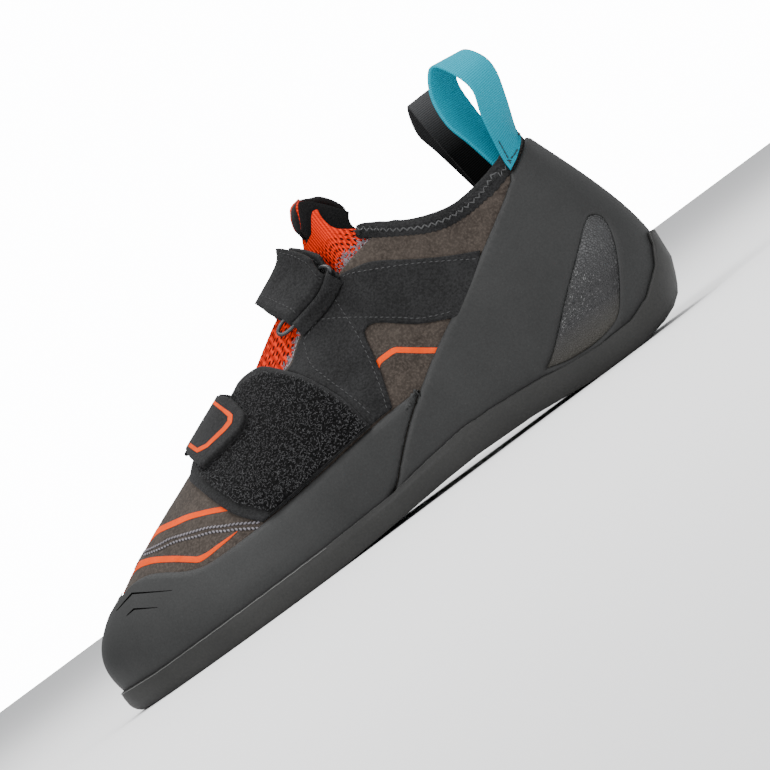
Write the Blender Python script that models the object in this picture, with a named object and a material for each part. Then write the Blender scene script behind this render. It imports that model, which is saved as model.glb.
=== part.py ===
"""Empty low-cut climbing shoe, left foot, with two fold-back straps and two heel pull loops."""

import math

import bmesh
import bpy
import numpy as np
from mathutils import Vector

# Driving sizes, in metres: the shoe's length, its width at the ball and its height at the instep,
# then the thicknesses of its walls, layers and trims.
LENGTH = 0.266
BALL_WIDTH = 0.094
INSTEP = 0.102
WALL = 0.0018
RUBBER = 0.0016
GAP = 0.0003
SEAM = 0.0005
SOLE_LIP = 0.0013
INSOLE = 0.0025
OVERLAY = 0.0010
INLAY = 0.0006
STRAP = 0.0015
PILE = 0.0015
TAB = 0.0027
BINDING = 0.0025
BINDING_TALL = 0.0070
TONGUE = 0.0015
LINING = 0.0011
RING_WIRE = 0.0016
WEB_THICK = 0.0013
PILE_EDGE = 0.0035
ANCHOR = 0.0010
RING_SPARE = 0.0044

# Faces round a wire, in a quarter turn of a ring, and in a strap's half turn.
WIRE_SIDES = 5
CORNER_STEPS = 3
FOLD_STEPS = 4
ROUND_CORNER = 0.9

# One step of each table below is this share of the size it belongs to.
UX = LENGTH / 266.0
UY = BALL_WIDTH / 94.0
UZ = INSTEP / 102.0
HEEL_SPOT = 226.0 * UX

NEAR, FAR = 0, 1

# Stations round the last from toe tip to heel: foot x, foot z, outer y, inner y,
# crown x, crown z, ridge y, half opening, belly out, belly up, shoulder out, shoulder down.
STATIONS = np.array([
    (5.0, 6.0, 13.0, 13.0, 31.0, 44.3, 12.0, 0.0, 7.0, 20.0, 24.0, 13.0),
    (7.5, 6.0, 3.0, 22.0, 32.5, 45.0, 12.0, 0.0, 7.0, 20.0, 24.0, 12.5),
    (14.0, 6.0, -7.0, 29.5, 36.0, 46.8, 12.0, 0.0, 7.0, 19.0, 22.0, 10.0),
    (24.0, 6.0, -17.5, 34.0, 42.0, 49.5, 11.5, 0.0, 7.0, 18.0, 21.0, 7.0),
    (39.0, 6.0, -28.5, 37.0, 52.0, 54.0, 11.0, 0.0, 7.0, 19.0, 19.0, 5.0),
    (58.0, 6.0, -37.0, 39.3, 67.0, 60.0, 10.0, 0.0, 7.5, 21.0, 19.0, 4.0),
    (80.0, 6.0, -42.0, 39.8, 86.0, 68.0, 8.0, 0.0, 8.0, 24.0, 18.0, 4.0),
    (103.0, 6.5, -41.5, 36.0, 106.0, 76.8, 6.0, 0.0, 8.5, 28.0, 16.0, 6.0),
    (127.0, 8.0, -38.5, 30.5, 129.0, 90.3, 4.0, 0.0, 9.0, 34.0, 14.0, 9.0),
    (147.0, 9.5, -35.5, 26.5, 149.0, 100.0, 2.0, 0.0, 9.0, 38.0, 12.0, 14.0),
    (157.0, 10.0, -34.0, 25.0, 156.3, 110.5, 1.0, 0.0, 9.0, 40.0, 10.0, 20.0),
    (166.0, 10.0, -33.0, 24.5, 164.0, 121.0, 0.0, 3.0, 9.0, 40.0, 12.0, 24.0),
    (175.0, 10.0, -32.0, 24.0, 178.0, 108.0, 0.0, 15.0, 9.0, 38.0, 6.0, 24.0),
    (185.0, 9.5, -30.5, 24.0, 189.0, 92.3, 0.0, 24.0, 9.0, 34.0, 3.0, 24.0),
    (202.0, 8.0, -28.5, 25.0, 206.0, 84.5, 0.0, 28.0, 9.0, 26.0, 3.0, 26.0),
    (219.0, 6.5, -27.5, 26.0, 220.0, 84.3, 0.0, 28.0, 9.0, 24.0, 3.0, 28.0),
    (236.0, 6.5, -25.5, 24.5, 234.0, 87.5, 0.0, 24.0, 9.5, 24.0, 4.0, 30.0),
    (248.0, 8.0, -20.0, 19.5, 241.5, 91.8, 0.0, 17.0, 10.5, 20.0, 6.0, 30.0),
    (254.5, 11.0, -10.5, 10.5, 243.8, 94.4, 0.0, 8.5, 15.0, 16.0, 8.0, 28.0),
    (256.5, 13.0, 0.0, 0.0, 244.6, 95.4, 0.0, 0.0, 17.0, 14.0, 8.5, 26.0),
])
LAST_STATION = len(STATIONS) - 1
RIDGE_END = 10
COLLAR_START = 13
COLUMN_AT = [k / 2 for k in range(2 * 9)] + [9, 10, 11, 12] + [13 + k / 2 for k in range(2 * 6 + 1)]
COLUMNS = len(COLUMN_AT) - 1
RIDGE_COLUMN = COLUMN_AT.index(RIDGE_END)
COLLAR_COLUMN = COLUMN_AT.index(COLLAR_START)
ROWS = 7

# Plain colours of the finishes.
SUEDE = (0.115, 0.095, 0.083)
RUBBER_BLACK = (0.052, 0.055, 0.055)
MICROFIBRE = (0.022, 0.023, 0.024)
PILE_BLACK = (0.016, 0.017, 0.018)
KNIT_ORANGE = (0.85, 0.075, 0.018)
WEB_BLUE = (0.01, 0.36, 0.5)
WEB_GREY = (0.035, 0.036, 0.037)
INLAY_GREY = (0.06, 0.06, 0.062)
METAL_BLACK = (0.03, 0.03, 0.032)

# Distances of the layers off the last.
SOLE_IN = GAP + RUBBER + GAP
PATCH_IN, PATCH_OUT = GAP, GAP + STRAP
PILE_IN, PILE_OUT = PATCH_OUT + GAP, PATCH_OUT + GAP + PILE
BACK_IN = PILE_OUT + 3 * GAP
BACK_OUT = BACK_IN + STRAP
TAB_IN = PILE_OUT + GAP
TAB_OUT = TAB_IN + TAB
TAB_DROP = 0.08
ANCHOR_IN = GAP + OVERLAY + GAP
ANCHOR_LOW = (ANCHOR_IN, ANCHOR_IN + ANCHOR)
HOLE = RING_WIRE + 4 * GAP
ANCHOR_TOP = (ANCHOR_LOW[1] + HOLE, ANCHOR_LOW[1] + HOLE + ANCHOR)
UPPER_IN = (ANCHOR_IN, ANCHOR_IN + STRAP)
UPPER_BACK = (UPPER_IN[1] + HOLE, UPPER_IN[1] + HOLE + STRAP)
TONGUE_OUT = -(WALL + 2.4 * GAP)
TONGUE_IN = TONGUE_OUT - TONGUE
LINING_OUT = TONGUE_IN - GAP

# Drawn lines on the near side, x from the toe plane and z from the floor in table steps.
TOE_RAND_TOP = [(28, 41.2), (33, 42.0), (39, 41.0), (45, 38.0), (52, 33.8), (60, 31.3), (72, 30.8),
                (85, 31.0), (102, 32.0), (120, 33.5), (138, 35.2), (150, 36.0), (161.5, 36.2)]
HEEL_RAND_FRONT = [(132, 11.0), (136, 14.0), (140, 18.0), (150, 27.0), (162, 36.0)]
HEEL_RAND_TOP = [(162, 36), (175, 44), (190, 52), (210, 63), (225, 71.6), (235, 78.0)]
LEAF = [(204, 14.0), (210, 18.0), (225, 31.0), (240, 43.0), (248, 49.2), (252, 50.2), (255, 47.0),
        (254, 40.0), (250, 31.5), (243, 21.0), (236, 13.5), (225, 11.0), (213, 11.6)]
THROAT = [(106, 76.3), (114, 74.5), (122, 71.5), (129, 72.5), (137, 78.0), (150, 84.0), (163, 90.0),
          (176, 95.8)]
COLLAR_LOW = [(177.2, 91.9), (184, 88.6), (192, 84.2), (200, 80.0), (208, 77.2), (216, 76.6), (224, 77.3)]
COLLAR_TOP = [(177.6, 98.9), (181, 98.6), (186, 95.6)]
OVERLAY_TOP = [(157.5, 87.2), (162, 88.0), (170, 86.6), (175, 85.0), (180, 82.0), (190, 75.0), (200, 69.0),
               (210.0, 63.9)]
OVERLAY_LOW = [(188.0, 51.8), (175, 57.5), (165, 64.0), (160, 65.5), (155.5, 62.0), (153, 50.0), (151.3, 37.0)]
OVERLAY_LEFT = [(139.8, 36.2), (137.9, 50.0), (132.0, 64.2), (127.0, 71.2)]
OVERLAY_THROAT = [(129.5, 72.4), (137, 77.6), (150, 83.6)]
PATCH_FRONT = [(86, 31.7), (78, 42), (71.5, 60)]
PATCH_BACK = [(106, 78.4), (112, 79.6), (119, 78.4), (126, 71.0), (131.2, 63.5), (137, 49.5), (139, 35.9)]
LOWER_RIDGE = (77.5, 102.5)
FAR_BAND_FRONT = [(79.5, 63.0), (83, 52.0)]
FAR_BAND_BACK = [(107, 54.0), (105, 68.0)]
PILE_TOP = [(76, 66.5), (86, 71.0), (98, 76.5), (106, 79.6), (112, 81.0)]
TAB_RIDGE = (79.6, 101.8)
TAB_LINE = [(76.6, 69.0), (79.2, 63.2), (86, 61.8), (97.5, 64.6), (101.2, 69.5), (101.6, 77.0)]
LOWER_ANCHOR = [(84.5, 44.0), (105.5, 45.5)]
LOWER_LEG = [(85.0, 38.5), (105.0, 39.5)]
UPPER_RIDGE = (134.2, 154.2)
UPPER_FRONT = [(133.5, 91.0), (136.6, 86.8)]
UPPER_REAR = [(157.6, 93.6), (157.8, 100.0)]
UPPER_ANCHOR = [(139.5, 78.6), (159.5, 85.2)]
UPPER_LEG = [(141.3, 74.0), (160.5, 80.6)]
FAR_PATCH = [(133, 85), (129, 72), (128, 58), (150, 57), (157, 72), (158, 90)]
FAR_BACK = [(133.5, 90), (133.3, 82.5), (156.6, 84.5), (157.6, 94)]
FAR_TAB = [(132.9, 81.8), (131.5, 70), (134, 66.5), (150, 67), (154.6, 72), (156.6, 83.8)]
FAR_PILE = [(131.5, 76), (130, 60), (149.5, 59.5), (154.8, 72), (155.5, 79)]
TONGUE_START = 96.0
TONGUE_LEAVES = 155.5
TONGUE_LOW = [(104, 70), (115, 67), (129, 65.5), (143, 73), (156, 80), (168, 85.5), (176, 88.3), (182, 90.8)]
TONGUE_NEAR = [(184, 94.6), (180.5, 99.0), (178, 101.2), (175, 103.2), (170, 106), (167, 109.5), (165.5, 113.8),
               (163, 111.5), (160, 107), (157.5, 103.5)]
TONGUE_FAR = [(184, 94.6), (181.5, 98.5), (179.0, 103.5), (179.4, 106.0)]
LINING_LOW = [(178.6, 103.8), (172, 101.5), (165, 99.5), (159, 99.5)]

# Sole, along x: top edge height, arch height, and how far the bevel goes in on each side.
EDGE_LINE = np.array([(3, 10.2), (20, 9.4), (50, 9.6), (100, 10.0), (130, 11.0), (150, 13.5), (165, 15.0),
                      (180, 14.5), (200, 12.5), (210, 10.8), (225, 9.4), (240, 9.8), (250, 13.2), (260, 20.5),
                      (264.5, 27.5), (266, 32.0)])
ARCH_LINE = np.array([(95, 0.0), (120, 1.3), (150, 3.3), (165, 3.8), (190, 3.0), (207, 1.2), (218, 0.0),
                      (240, 0.0), (245, 1.5)])
BEVEL_LINE = np.array([(2, 6.0, 4.0), (20, 3.0, 3.0), (40, 1.5, 2.5), (120, 1.5, 2.5), (150, 3.0, 4.0),
                       (200, 4.0, 4.0), (238, 4.5, 4.0), (250, 13.0, 9.0), (256.5, 20.0, 13.0),
                       (258.5, 23.5, 15.0)])


def catmull(values, r):
    """Smooth value between the rows of a table that runs once round the last."""
    count = len(values)
    i = int(math.floor(r))
    t = r - i
    a, b, c, d = (values[(i + k) % count] for k in (-1, 0, 1, 2))
    return 0.5 * (2 * b + (c - a) * t + (2 * a - 5 * b + 4 * c - d) * t * t + (3 * b - a - 3 * c + d) * t ** 3)


def station_loops():
    """Foot, crown and the four handle lengths, near side out and far side back."""
    foot, crown, handle = [], [], []
    order = [(k, NEAR) for k in range(LAST_STATION + 1)] + [(k, FAR) for k in range(LAST_STATION - 1, 0, -1)]
    for k, side in order:
        fx, fz, outer, inner, cx, cz, ridge, gape, b_out, b_up, s_out, s_down = STATIONS[k]
        sign = -1 if side == NEAR else 1
        foot.append((fx * UX, (outer if side == NEAR else inner) * UY, fz * UZ))
        crown.append((cx * UX, (ridge + sign * gape) * UY, cz * UZ))
        handle.append((b_out * UY, b_up * UZ, s_out * UY, s_down * UZ))
    return np.array(foot), np.array(crown), np.array(handle)


FOOT, CROWN, HANDLE = station_loops()
LOOP = len(FOOT)


def loop_place(side, r):
    return r if side == NEAR else (LOOP - r) % LOOP


def out_way(place):
    """Level direction that points away from the last at a place on the foot line."""
    step = catmull(FOOT, place + 0.25) - catmull(FOOT, place - 0.25)
    way = np.array((step[1], -step[0], 0.0))
    return way / np.linalg.norm(way)


def profile(side, r, t):
    """Point of the last at station r and height share t, before the grid is drawn."""
    place = loop_place(side, r)
    foot, crown = catmull(FOOT, place), catmull(CROWN, place)
    b_out, b_up, s_out, s_down = catmull(HANDLE, place)
    way = out_way(place)
    up = np.array((0.0, 0.0, 1.0))
    low = foot + way * b_out + up * b_up
    high = crown + way * s_out - up * s_down
    return (1 - t) ** 3 * foot + 3 * (1 - t) ** 2 * t * low + 3 * (1 - t) * t * t * high + t ** 3 * crown


def last_grid():
    """Points and outward normals of the last on its grid of columns and rows."""
    points = np.zeros((2, COLUMNS + 1, ROWS + 1, 3))
    for side in (NEAR, FAR):
        for i in range(COLUMNS + 1):
            for j in range(ROWS + 1):
                points[side, i, j] = profile(side, COLUMN_AT[i], j / ROWS)
    ridge = slice(0, RIDGE_COLUMN + 1)
    middle = (points[NEAR, ridge, ROWS] + points[FAR, ridge, ROWS]) / 2
    points[NEAR, ridge, ROWS] = middle
    points[FAR, ridge, ROWS] = middle
    for i in (0, COLUMNS):
        points[FAR, i] = points[NEAR, i]
    normals = np.zeros_like(points)
    for side in (NEAR, FAR):
        along = np.gradient(points[side], axis=0)
        up = np.gradient(points[side], axis=1)
        cross = np.cross(along, up) if side == NEAR else np.cross(up, along)
        normals[side] = cross / np.linalg.norm(cross, axis=2, keepdims=True)
    for side in (NEAR, FAR):
        for i in range(COLUMNS + 1):
            normals[side, i, 0] = out_way(loop_place(side, COLUMN_AT[i]))
    ridge_sum = normals[NEAR, ridge, ROWS] + normals[FAR, ridge, ROWS]
    normals[NEAR, ridge, ROWS] = ridge_sum
    normals[FAR, ridge, ROWS] = ridge_sum
    for i in (0, COLUMNS):
        both = normals[NEAR, i] + normals[FAR, i]
        both[:, 1] = 0.0
        normals[NEAR, i] = both
        normals[FAR, i] = both
    tip = normals[NEAR, 1, ROWS] + normals[NEAR, 0, ROWS - 1]
    normals[NEAR, 0, ROWS] = tip
    normals[FAR, 0, ROWS] = tip
    normals /= np.linalg.norm(normals, axis=3, keepdims=True)
    return points, normals


POINTS, NORMALS = last_grid()


def blend(grid, side, u, h):
    """Straight-sided value inside the grid triangle that holds (u, h)."""
    i = min(int(u), COLUMNS - 1)
    j = min(int(h), ROWS - 1)
    a, b = u - i, h - j
    low, right = grid[side, i, j], grid[side, i + 1, j]
    up, far = grid[side, i, j + 1], grid[side, i + 1, j + 1]
    if a + b <= 1.0:
        return low + a * (right - low) + b * (up - low)
    return far + (1 - a) * (up - far) + (1 - b) * (right - far)


def on_last(side, u, h, offset):
    """Point at a distance off the last, in the shoe's frame."""
    point = blend(POINTS, side, u, h) + blend(NORMALS, side, u, h) * offset
    return point - np.array((HEEL_SPOT, 0.0, 0.0))


def side_view(offset):
    """Grid triangles of the near side as seen level from that side."""
    shape = POINTS[NEAR] + NORMALS[NEAR] * offset
    flat = shape[:, :, (0, 2)]
    tris = []
    for i in range(COLUMNS):
        for j in range(ROWS):
            tris.append(((i, j), (i + 1, j), (i, j + 1)))
            tris.append(((i + 1, j + 1), (i, j + 1), (i + 1, j)))
    corners = np.array(tris, dtype=float)
    places = np.array([[flat[p] for p in tri] for tri in tris])
    return corners, places


VIEWS = {}


def trace(x, z, offset=0.0):
    """Grid place of a point drawn on the near side; x and z count in table steps."""
    if offset not in VIEWS:
        VIEWS[offset] = side_view(offset)
    corners, places = VIEWS[offset]
    target = np.array(((x - 2.0) * UX, z * UZ))
    a, b, c = places[:, 0], places[:, 1], places[:, 2]
    d1, d2, dp = b - a, c - a, target - a
    area = d1[:, 0] * d2[:, 1] - d1[:, 1] * d2[:, 0]
    area = np.where(np.abs(area) < 1e-14, 1e-14, area)
    s = (dp[:, 0] * d2[:, 1] - dp[:, 1] * d2[:, 0]) / area
    t = (d1[:, 0] * dp[:, 1] - d1[:, 1] * dp[:, 0]) / area
    w = np.stack((1 - s - t, s, t), axis=1)
    w = np.clip(w, 0.0, None)
    w /= w.sum(axis=1, keepdims=True)
    found = (w[:, :, None] * places).sum(axis=1)
    miss = np.linalg.norm(found - target, axis=1)
    facing = area if area.mean() > 0 else -area
    best = np.argmin(miss + np.where(facing > 0, 0.0, 0.02))
    place = (w[best][:, None] * corners[best]).sum(axis=0)
    return float(place[0]), float(place[1])


def crown_place(x):
    """Grid place on the ridge at a length along the shoe."""
    line = POINTS[NEAR, :, ROWS, 0]
    span = RIDGE_COLUMN + 1
    return float(np.interp((x - 2.0) * UX, line[:span], np.arange(span))), float(ROWS)


def foot_place(x):
    """Grid place on the foot line at a length along the shoe."""
    line = POINTS[NEAR, :, 0, 0]
    return float(np.interp((x - 2.0) * UX, line, np.arange(COLUMNS + 1))), 0.0


def smooth(points, steps):
    """Open curve through drawn points."""
    pts = [np.array(p, dtype=float) for p in points]
    pts = [2 * pts[0] - pts[1]] + pts + [2 * pts[-1] - pts[-2]]
    result = []
    for k in range(1, len(pts) - 2):
        a, b, c, d = pts[k - 1:k + 3]
        for step in range(steps):
            t = step / steps
            value = 0.5 * (2 * b + (c - a) * t + (2 * a - 5 * b + 4 * c - d) * t * t
                           + (3 * b - a - 3 * c + d) * t ** 3)
            result.append(tuple(value))
    result.append(tuple(pts[-2]))
    return result


def traced(points, offset=0.0, steps=1, shift=(0.0, 0.0)):
    """Grid places of a drawn line, moved by a shift in metres if asked."""
    dx, dz = shift[0] / UX, shift[1] / UZ
    return [trace(x + dx, z + dz, offset) for x, z in smooth(points, steps)]


def inset(points, distance):
    """Closed drawn outline pulled in by a distance in metres."""
    pts = [np.array((x * UX, z * UZ)) for x, z in points]
    count = len(pts)
    turn = sum(pts[k][0] * pts[(k + 1) % count][1] - pts[(k + 1) % count][0] * pts[k][1] for k in range(count))
    sign = 1.0 if turn > 0 else -1.0
    result = []
    for k in range(count):
        before = pts[k] - pts[k - 1]
        after = pts[(k + 1) % count] - pts[k]
        n1 = np.array((-before[1], before[0])) / np.linalg.norm(before)
        n2 = np.array((-after[1], after[0])) / np.linalg.norm(after)
        mid = n1 + n2
        move = mid * (sign * distance * 2 / max(float(mid @ mid), 0.8))
        moved = pts[k] + move
        result.append((moved[0] / UX, moved[1] / UZ))
    return result


def on_grid_line(a, b):
    for one, two in ((a.x, b.x), (a.y, b.y), (a.x + a.y, b.x + b.y)):
        if abs(one - two) < 1e-4 and abs(one - round(one)) < 1e-4:
            return True
    return False


def cut_pattern(outline, holes):
    """Flat pattern cut along the grid's columns, rows and slants: places and faces."""
    bm = bmesh.new()
    for loop in [outline] + list(holes):
        verts = [bm.verts.new((u, h, 0.0)) for u, h in loop]
        for a, b in zip(verts, verts[1:] + verts[:1]):
            bm.edges.new((a, b))
    bmesh.ops.triangle_fill(bm, use_beauty=True, use_dissolve=False, edges=bm.edges[:], normal=(0, 0, 1))
    us = [v.co.x for v in bm.verts]
    hs = [v.co.y for v in bm.verts]
    cuts = [((k, 0, 0), (1, 0, 0)) for k in range(math.ceil(min(us)), int(max(us)) + 1)]
    cuts += [((0, k, 0), (0, 1, 0)) for k in range(math.ceil(min(hs)), int(max(hs)) + 1)]
    low, high = math.ceil(min(us) + min(hs)), int(max(us) + max(hs))
    cuts += [((k, 0, 0), (1, 1, 0)) for k in range(low, high + 1)]
    for spot, way in cuts:
        geometry = bm.verts[:] + bm.edges[:] + bm.faces[:]
        bmesh.ops.bisect_plane(bm, geom=geometry, dist=1e-4, plane_co=spot, plane_no=way)
    bmesh.ops.remove_doubles(bm, verts=bm.verts[:], dist=2e-3)
    extra = [e for e in bm.edges if len(e.link_faces) == 2 and not on_grid_line(e.verts[0].co, e.verts[1].co)]
    bmesh.ops.dissolve_edges(bm, edges=extra, use_verts=False, use_face_split=False)
    loose = [v for v in bm.verts if len(v.link_edges) == 2 and len(v.link_faces) == 2]
    bmesh.ops.dissolve_verts(bm, verts=loose)
    bm.normal_update()
    for face in bm.faces:
        if face.normal.z < 0:
            face.normal_flip()
    bm.verts.index_update()
    places = [(v.co.x, v.co.y) for v in bm.verts]
    faces = [[v.index for v in f.verts] for f in bm.faces]
    bm.free()
    return places, faces


def distance_to_line(p, a, b):
    way = np.array(b) - np.array(a)
    gone = np.array(p) - np.array(a)
    share = float(gone @ way) / float(way @ way)
    if not -1e-3 <= share <= 1.001:
        return 1.0, share
    return abs(way[0] * gone[1] - way[1] * gone[0]) / float(np.linalg.norm(way)), share


def sheet(bm, sides, inner, outer, folds=None):
    """Sheet with thickness laid on the last. Gives, by side, the rows of an edge left open."""
    walls = {}
    open_rows = {}
    for side, (outline, holes) in sides.items():
        places, faces = cut_pattern(outline, holes)
        low = [bm.verts.new(on_last(side, u, h, inner)) for u, h in places]
        thick = [outer(side, u, h) if callable(outer) else outer for u, h in places]
        top = [bm.verts.new(on_last(side, u, h, t)) for (u, h), t in zip(places, thick)]
        borders = {}
        for face in faces:
            bm.faces.new([top[k] for k in face])
            bm.faces.new([low[k] for k in reversed(face)])
            for a, b in zip(face, face[1:] + face[:1]):
                borders.setdefault(frozenset((a, b)), []).append((a, b))
        for uses in borders.values():
            if len(uses) > 1:
                continue
            a, b = uses[0]
            if folds and side in folds:
                ends = [distance_to_line(places[k], *folds[side]) for k in (a, b)]
                if max(gap for gap, share in ends) < 3e-3:
                    for k, (gap, share) in zip((a, b), ends):
                        open_rows.setdefault(side, {})[k] = (share, side, places[k], low[k], top[k])
                    continue
            key = frozenset(tuple(np.round(np.array(v.co) * 1e5).astype(int)) for v in (low[a], low[b]))
            walls.setdefault(key, []).append((low[a], low[b], top[b], top[a]))
    for quads in walls.values():
        if len(quads) == 1:
            bm.faces.new(quads[0])
    return {side: sorted(rows.values(), key=lambda row: row[0]) for side, rows in open_rows.items()}


def down_way(side, u, h, sign):
    """Direction along the last's skin, square to its normal, down or up."""
    step = on_last(side, u, max(h - 0.5, 0), 0) - on_last(side, u, min(h + 0.5, ROWS), 0)
    normal = blend(NORMALS, side, u, h)
    step = step - normal * float(step @ normal) / float(normal @ normal)
    return sign * step / np.linalg.norm(step)


def bend(bm, rows_a, rows_b, a_pair, b_pair, sign, steps=FOLD_STEPS):
    """Half-round turn that joins two open sheet edges into one band."""
    middle = (a_pair[1] + b_pair[0]) / 2
    small = (b_pair[0] - a_pair[1]) / 2
    large = middle - a_pair[0]
    inside, outside = [], []
    for row_a, row_b in zip(rows_a, rows_b):
        side, (u, h) = row_a[1], row_a[2]
        base = on_last(side, u, h, 0)
        normal = blend(NORMALS, side, u, h)
        way = down_way(side, u, h, sign)
        ring_in, ring_out = [row_a[4]], [row_a[3]]
        for k in range(1, steps):
            angle = math.pi * k / steps
            rise, out = -math.cos(angle), math.sin(angle)
            ring_in.append(bm.verts.new(base + normal * (middle + small * rise) + way * small * out))
            ring_out.append(bm.verts.new(base + normal * (middle + large * rise) + way * large * out))
        ring_in.append(row_b[3])
        ring_out.append(row_b[4])
        inside.append(ring_in)
        outside.append(ring_out)
    for rings in (inside, outside):
        for one, two in zip(rings, rings[1:]):
            for k in range(steps):
                bm.faces.new((one[k], one[k + 1], two[k + 1], two[k]))
    for ring_in, ring_out in ((inside[0], outside[0]), (inside[-1], outside[-1])):
        for k in range(steps):
            bm.faces.new((ring_in[k], ring_in[k + 1], ring_out[k + 1], ring_out[k]))


def finish(name, bm, color, rough, metallic=0.0):
    """Turn a closed bmesh into a named object with its own material."""
    bmesh.ops.remove_doubles(bm, verts=bm.verts[:], dist=2e-6)
    bmesh.ops.triangulate(bm, faces=bm.faces[:])
    bmesh.ops.recalc_face_normals(bm, faces=bm.faces[:])
    mesh = bpy.data.meshes.new(name)
    bm.to_mesh(mesh)
    bm.free()
    material = bpy.data.materials.new(name)
    material.use_nodes = True
    shader = material.node_tree.nodes["Principled BSDF"]
    shader.inputs["Base Color"].default_value = (*color, 1.0)
    shader.inputs["Roughness"].default_value = rough
    shader.inputs["Metallic"].default_value = metallic
    material.diffuse_color = (*color, 1.0)
    mesh.materials.append(material)
    obj = bpy.data.objects.new(name, mesh)
    bpy.context.scene.collection.objects.link(obj)
    return obj


def laid(name, sides, inner, outer, color, rough):
    """Piece made of one sheet on the last."""
    bm = bmesh.new()
    sheet(bm, sides, inner, outer)
    return finish(name, bm, color, rough)


def h_at(u, height, offset=0.0):
    """Row place where a column of the near side passes a height in table steps."""
    rows = np.linspace(0, ROWS, 201)
    heights = [on_last(NEAR, u, h, offset)[2] for h in rows]
    return float(np.interp(height * UZ, heights, rows))


def collar_low(u, gap):
    """Row place a gap below the lower edge of the collar binding, for the columns behind the throat."""
    top = on_last(NEAR, u, ROWS, 0)[2] / UZ
    return h_at(u, top - (BINDING_TALL + gap) / UZ)


def collar_edge(gap):
    """Lower edge of the collar binding from the throat round to the heel."""
    front = traced(COLLAR_LOW, shift=(0.0, -gap))
    columns = range(int(front[-1][0]) + 1, COLUMNS + 1)
    return front + [(float(u), collar_low(u, gap)) for u in columns]


def upper_outline():
    throat = traced(THROAT)
    outline = [(0.0, 0.0), (float(COLUMNS), 0.0)]
    outline += list(reversed(collar_edge(SEAM))) + list(reversed(throat))[:-1]
    return outline + [crown_place(105), (0.0, float(ROWS))]


def binding_outline():
    top = [(float(u), float(ROWS)) for u in range(COLUMNS, COLLAR_COLUMN - 1, -1)]
    return collar_edge(0.0) + top + list(reversed(traced(COLLAR_TOP)))


def toe_rand_outline():
    front = (0.0, 0.89 * ROWS)
    top = traced(TOE_RAND_TOP, GAP + RUBBER)
    rear = traced(HEEL_RAND_FRONT, GAP + RUBBER, shift=(-SEAM, 0.0))
    return [(0.0, 0.0), foot_place(130.5)] + rear[:-1] + list(reversed(top)) + [front]


def heel_rand_outline():
    front = traced(HEEL_RAND_FRONT, GAP + RUBBER)
    top = traced(HEEL_RAND_TOP, GAP + RUBBER)
    columns = range(int(top[-1][0]) + 1, COLUMNS + 1)
    back = [(float(u), collar_low(u, SEAM)) for u in columns]
    outline = [foot_place(131.5), (float(COLUMNS), 0.0)]
    return outline + list(reversed(back)) + list(reversed(top)) + list(reversed(front))[1:]


def build_upper():
    outline = upper_outline()
    laid("upper", {NEAR: (outline, []), FAR: (outline, [])}, -WALL, 0.0, SUEDE, 0.9)
    rim = binding_outline()
    low = -WALL - GAP
    laid("collar_binding", {NEAR: (rim, []), FAR: (rim, [])}, low, low + BINDING, MICROFIBRE, 0.8)


def build_rands():
    toe = toe_rand_outline()
    laid("toe_rand", {NEAR: (toe, []), FAR: (toe, [])}, GAP, GAP + RUBBER, RUBBER_BLACK, 0.6)
    heel = heel_rand_outline()
    leaf = [trace(x, z, GAP + RUBBER) for x, z in LEAF]
    laid("heel_rand", {NEAR: (heel, [leaf]), FAR: (heel, [leaf])}, GAP, GAP + RUBBER, RUBBER_BLACK, 0.6)
    small = [trace(x, z, GAP + RUBBER) for x, z in inset(LEAF, SEAM)]
    laid("outer_heel_inlay", {NEAR: (small, [])}, GAP, GAP + INLAY, INLAY_GREY, 0.35)
    laid("inner_heel_inlay", {FAR: (small, [])}, GAP, GAP + INLAY, INLAY_GREY, 0.35)


def build_overlays():
    outline = [trace(x, z, GAP + OVERLAY) for x, z in OVERLAY_THROAT + OVERLAY_TOP + OVERLAY_LOW + OVERLAY_LEFT]
    for name, side in (("outer_overlay", NEAR), ("inner_overlay", FAR)):
        laid(name, {side: (outline, [])}, GAP, GAP + OVERLAY, MICROFIBRE, 0.8)


def build_lower_strap():
    front = traced(PATCH_FRONT, PATCH_OUT)
    back = traced(PATCH_BACK, PATCH_OUT)
    ridge = [crown_place(LOWER_RIDGE[0]), crown_place(LOWER_RIDGE[1])]
    near = front + ridge + back
    far_front = traced(FAR_BAND_FRONT, PATCH_OUT)
    far_back = traced(FAR_BAND_BACK, PATCH_OUT)
    far = [ridge[0]] + far_front + far_back + [ridge[1]]
    fold = (far_front[-1], far_back[0])
    bm = bmesh.new()
    rows_a = sheet(bm, {NEAR: (near, []), FAR: (far, [])}, PATCH_IN, PATCH_OUT, {FAR: fold})[FAR]
    rows_b = sheet(bm, {FAR: (far, [])}, BACK_IN, BACK_OUT, {FAR: fold})[FAR]
    bend(bm, rows_a, rows_b, (PATCH_IN, PATCH_OUT), (BACK_IN, BACK_OUT), 1)
    finish("lower_strap", bm, MICROFIBRE, 0.85)
    pile = [(x, z) for x, z in PATCH_FRONT + PILE_TOP + PATCH_BACK[2:]]
    places = [trace(x, z, PILE_OUT) for x, z in inset(pile, PILE_EDGE)]
    laid("lower_strap_pile", {NEAR: (places, [])}, PILE_IN, PILE_OUT, PILE_BLACK, 0.95)
    left, right = crown_place(TAB_RIDGE[0]), crown_place(TAB_RIDGE[1])
    tab = [trace(x, z, TAB_OUT) for x, z in TAB_LINE]
    tab = [(left[0], ROWS - TAB_DROP)] + tab + [(right[0], ROWS - TAB_DROP)]
    laid("lower_strap_tab", {NEAR: (tab, [])}, TAB_IN, TAB_OUT, MICROFIBRE, 0.7)
    ring("lower_ring", FAR, fold[0], fold[1], (PATCH_OUT + BACK_IN) / 2, LOWER_ANCHOR, LOWER_LEG)


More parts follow.
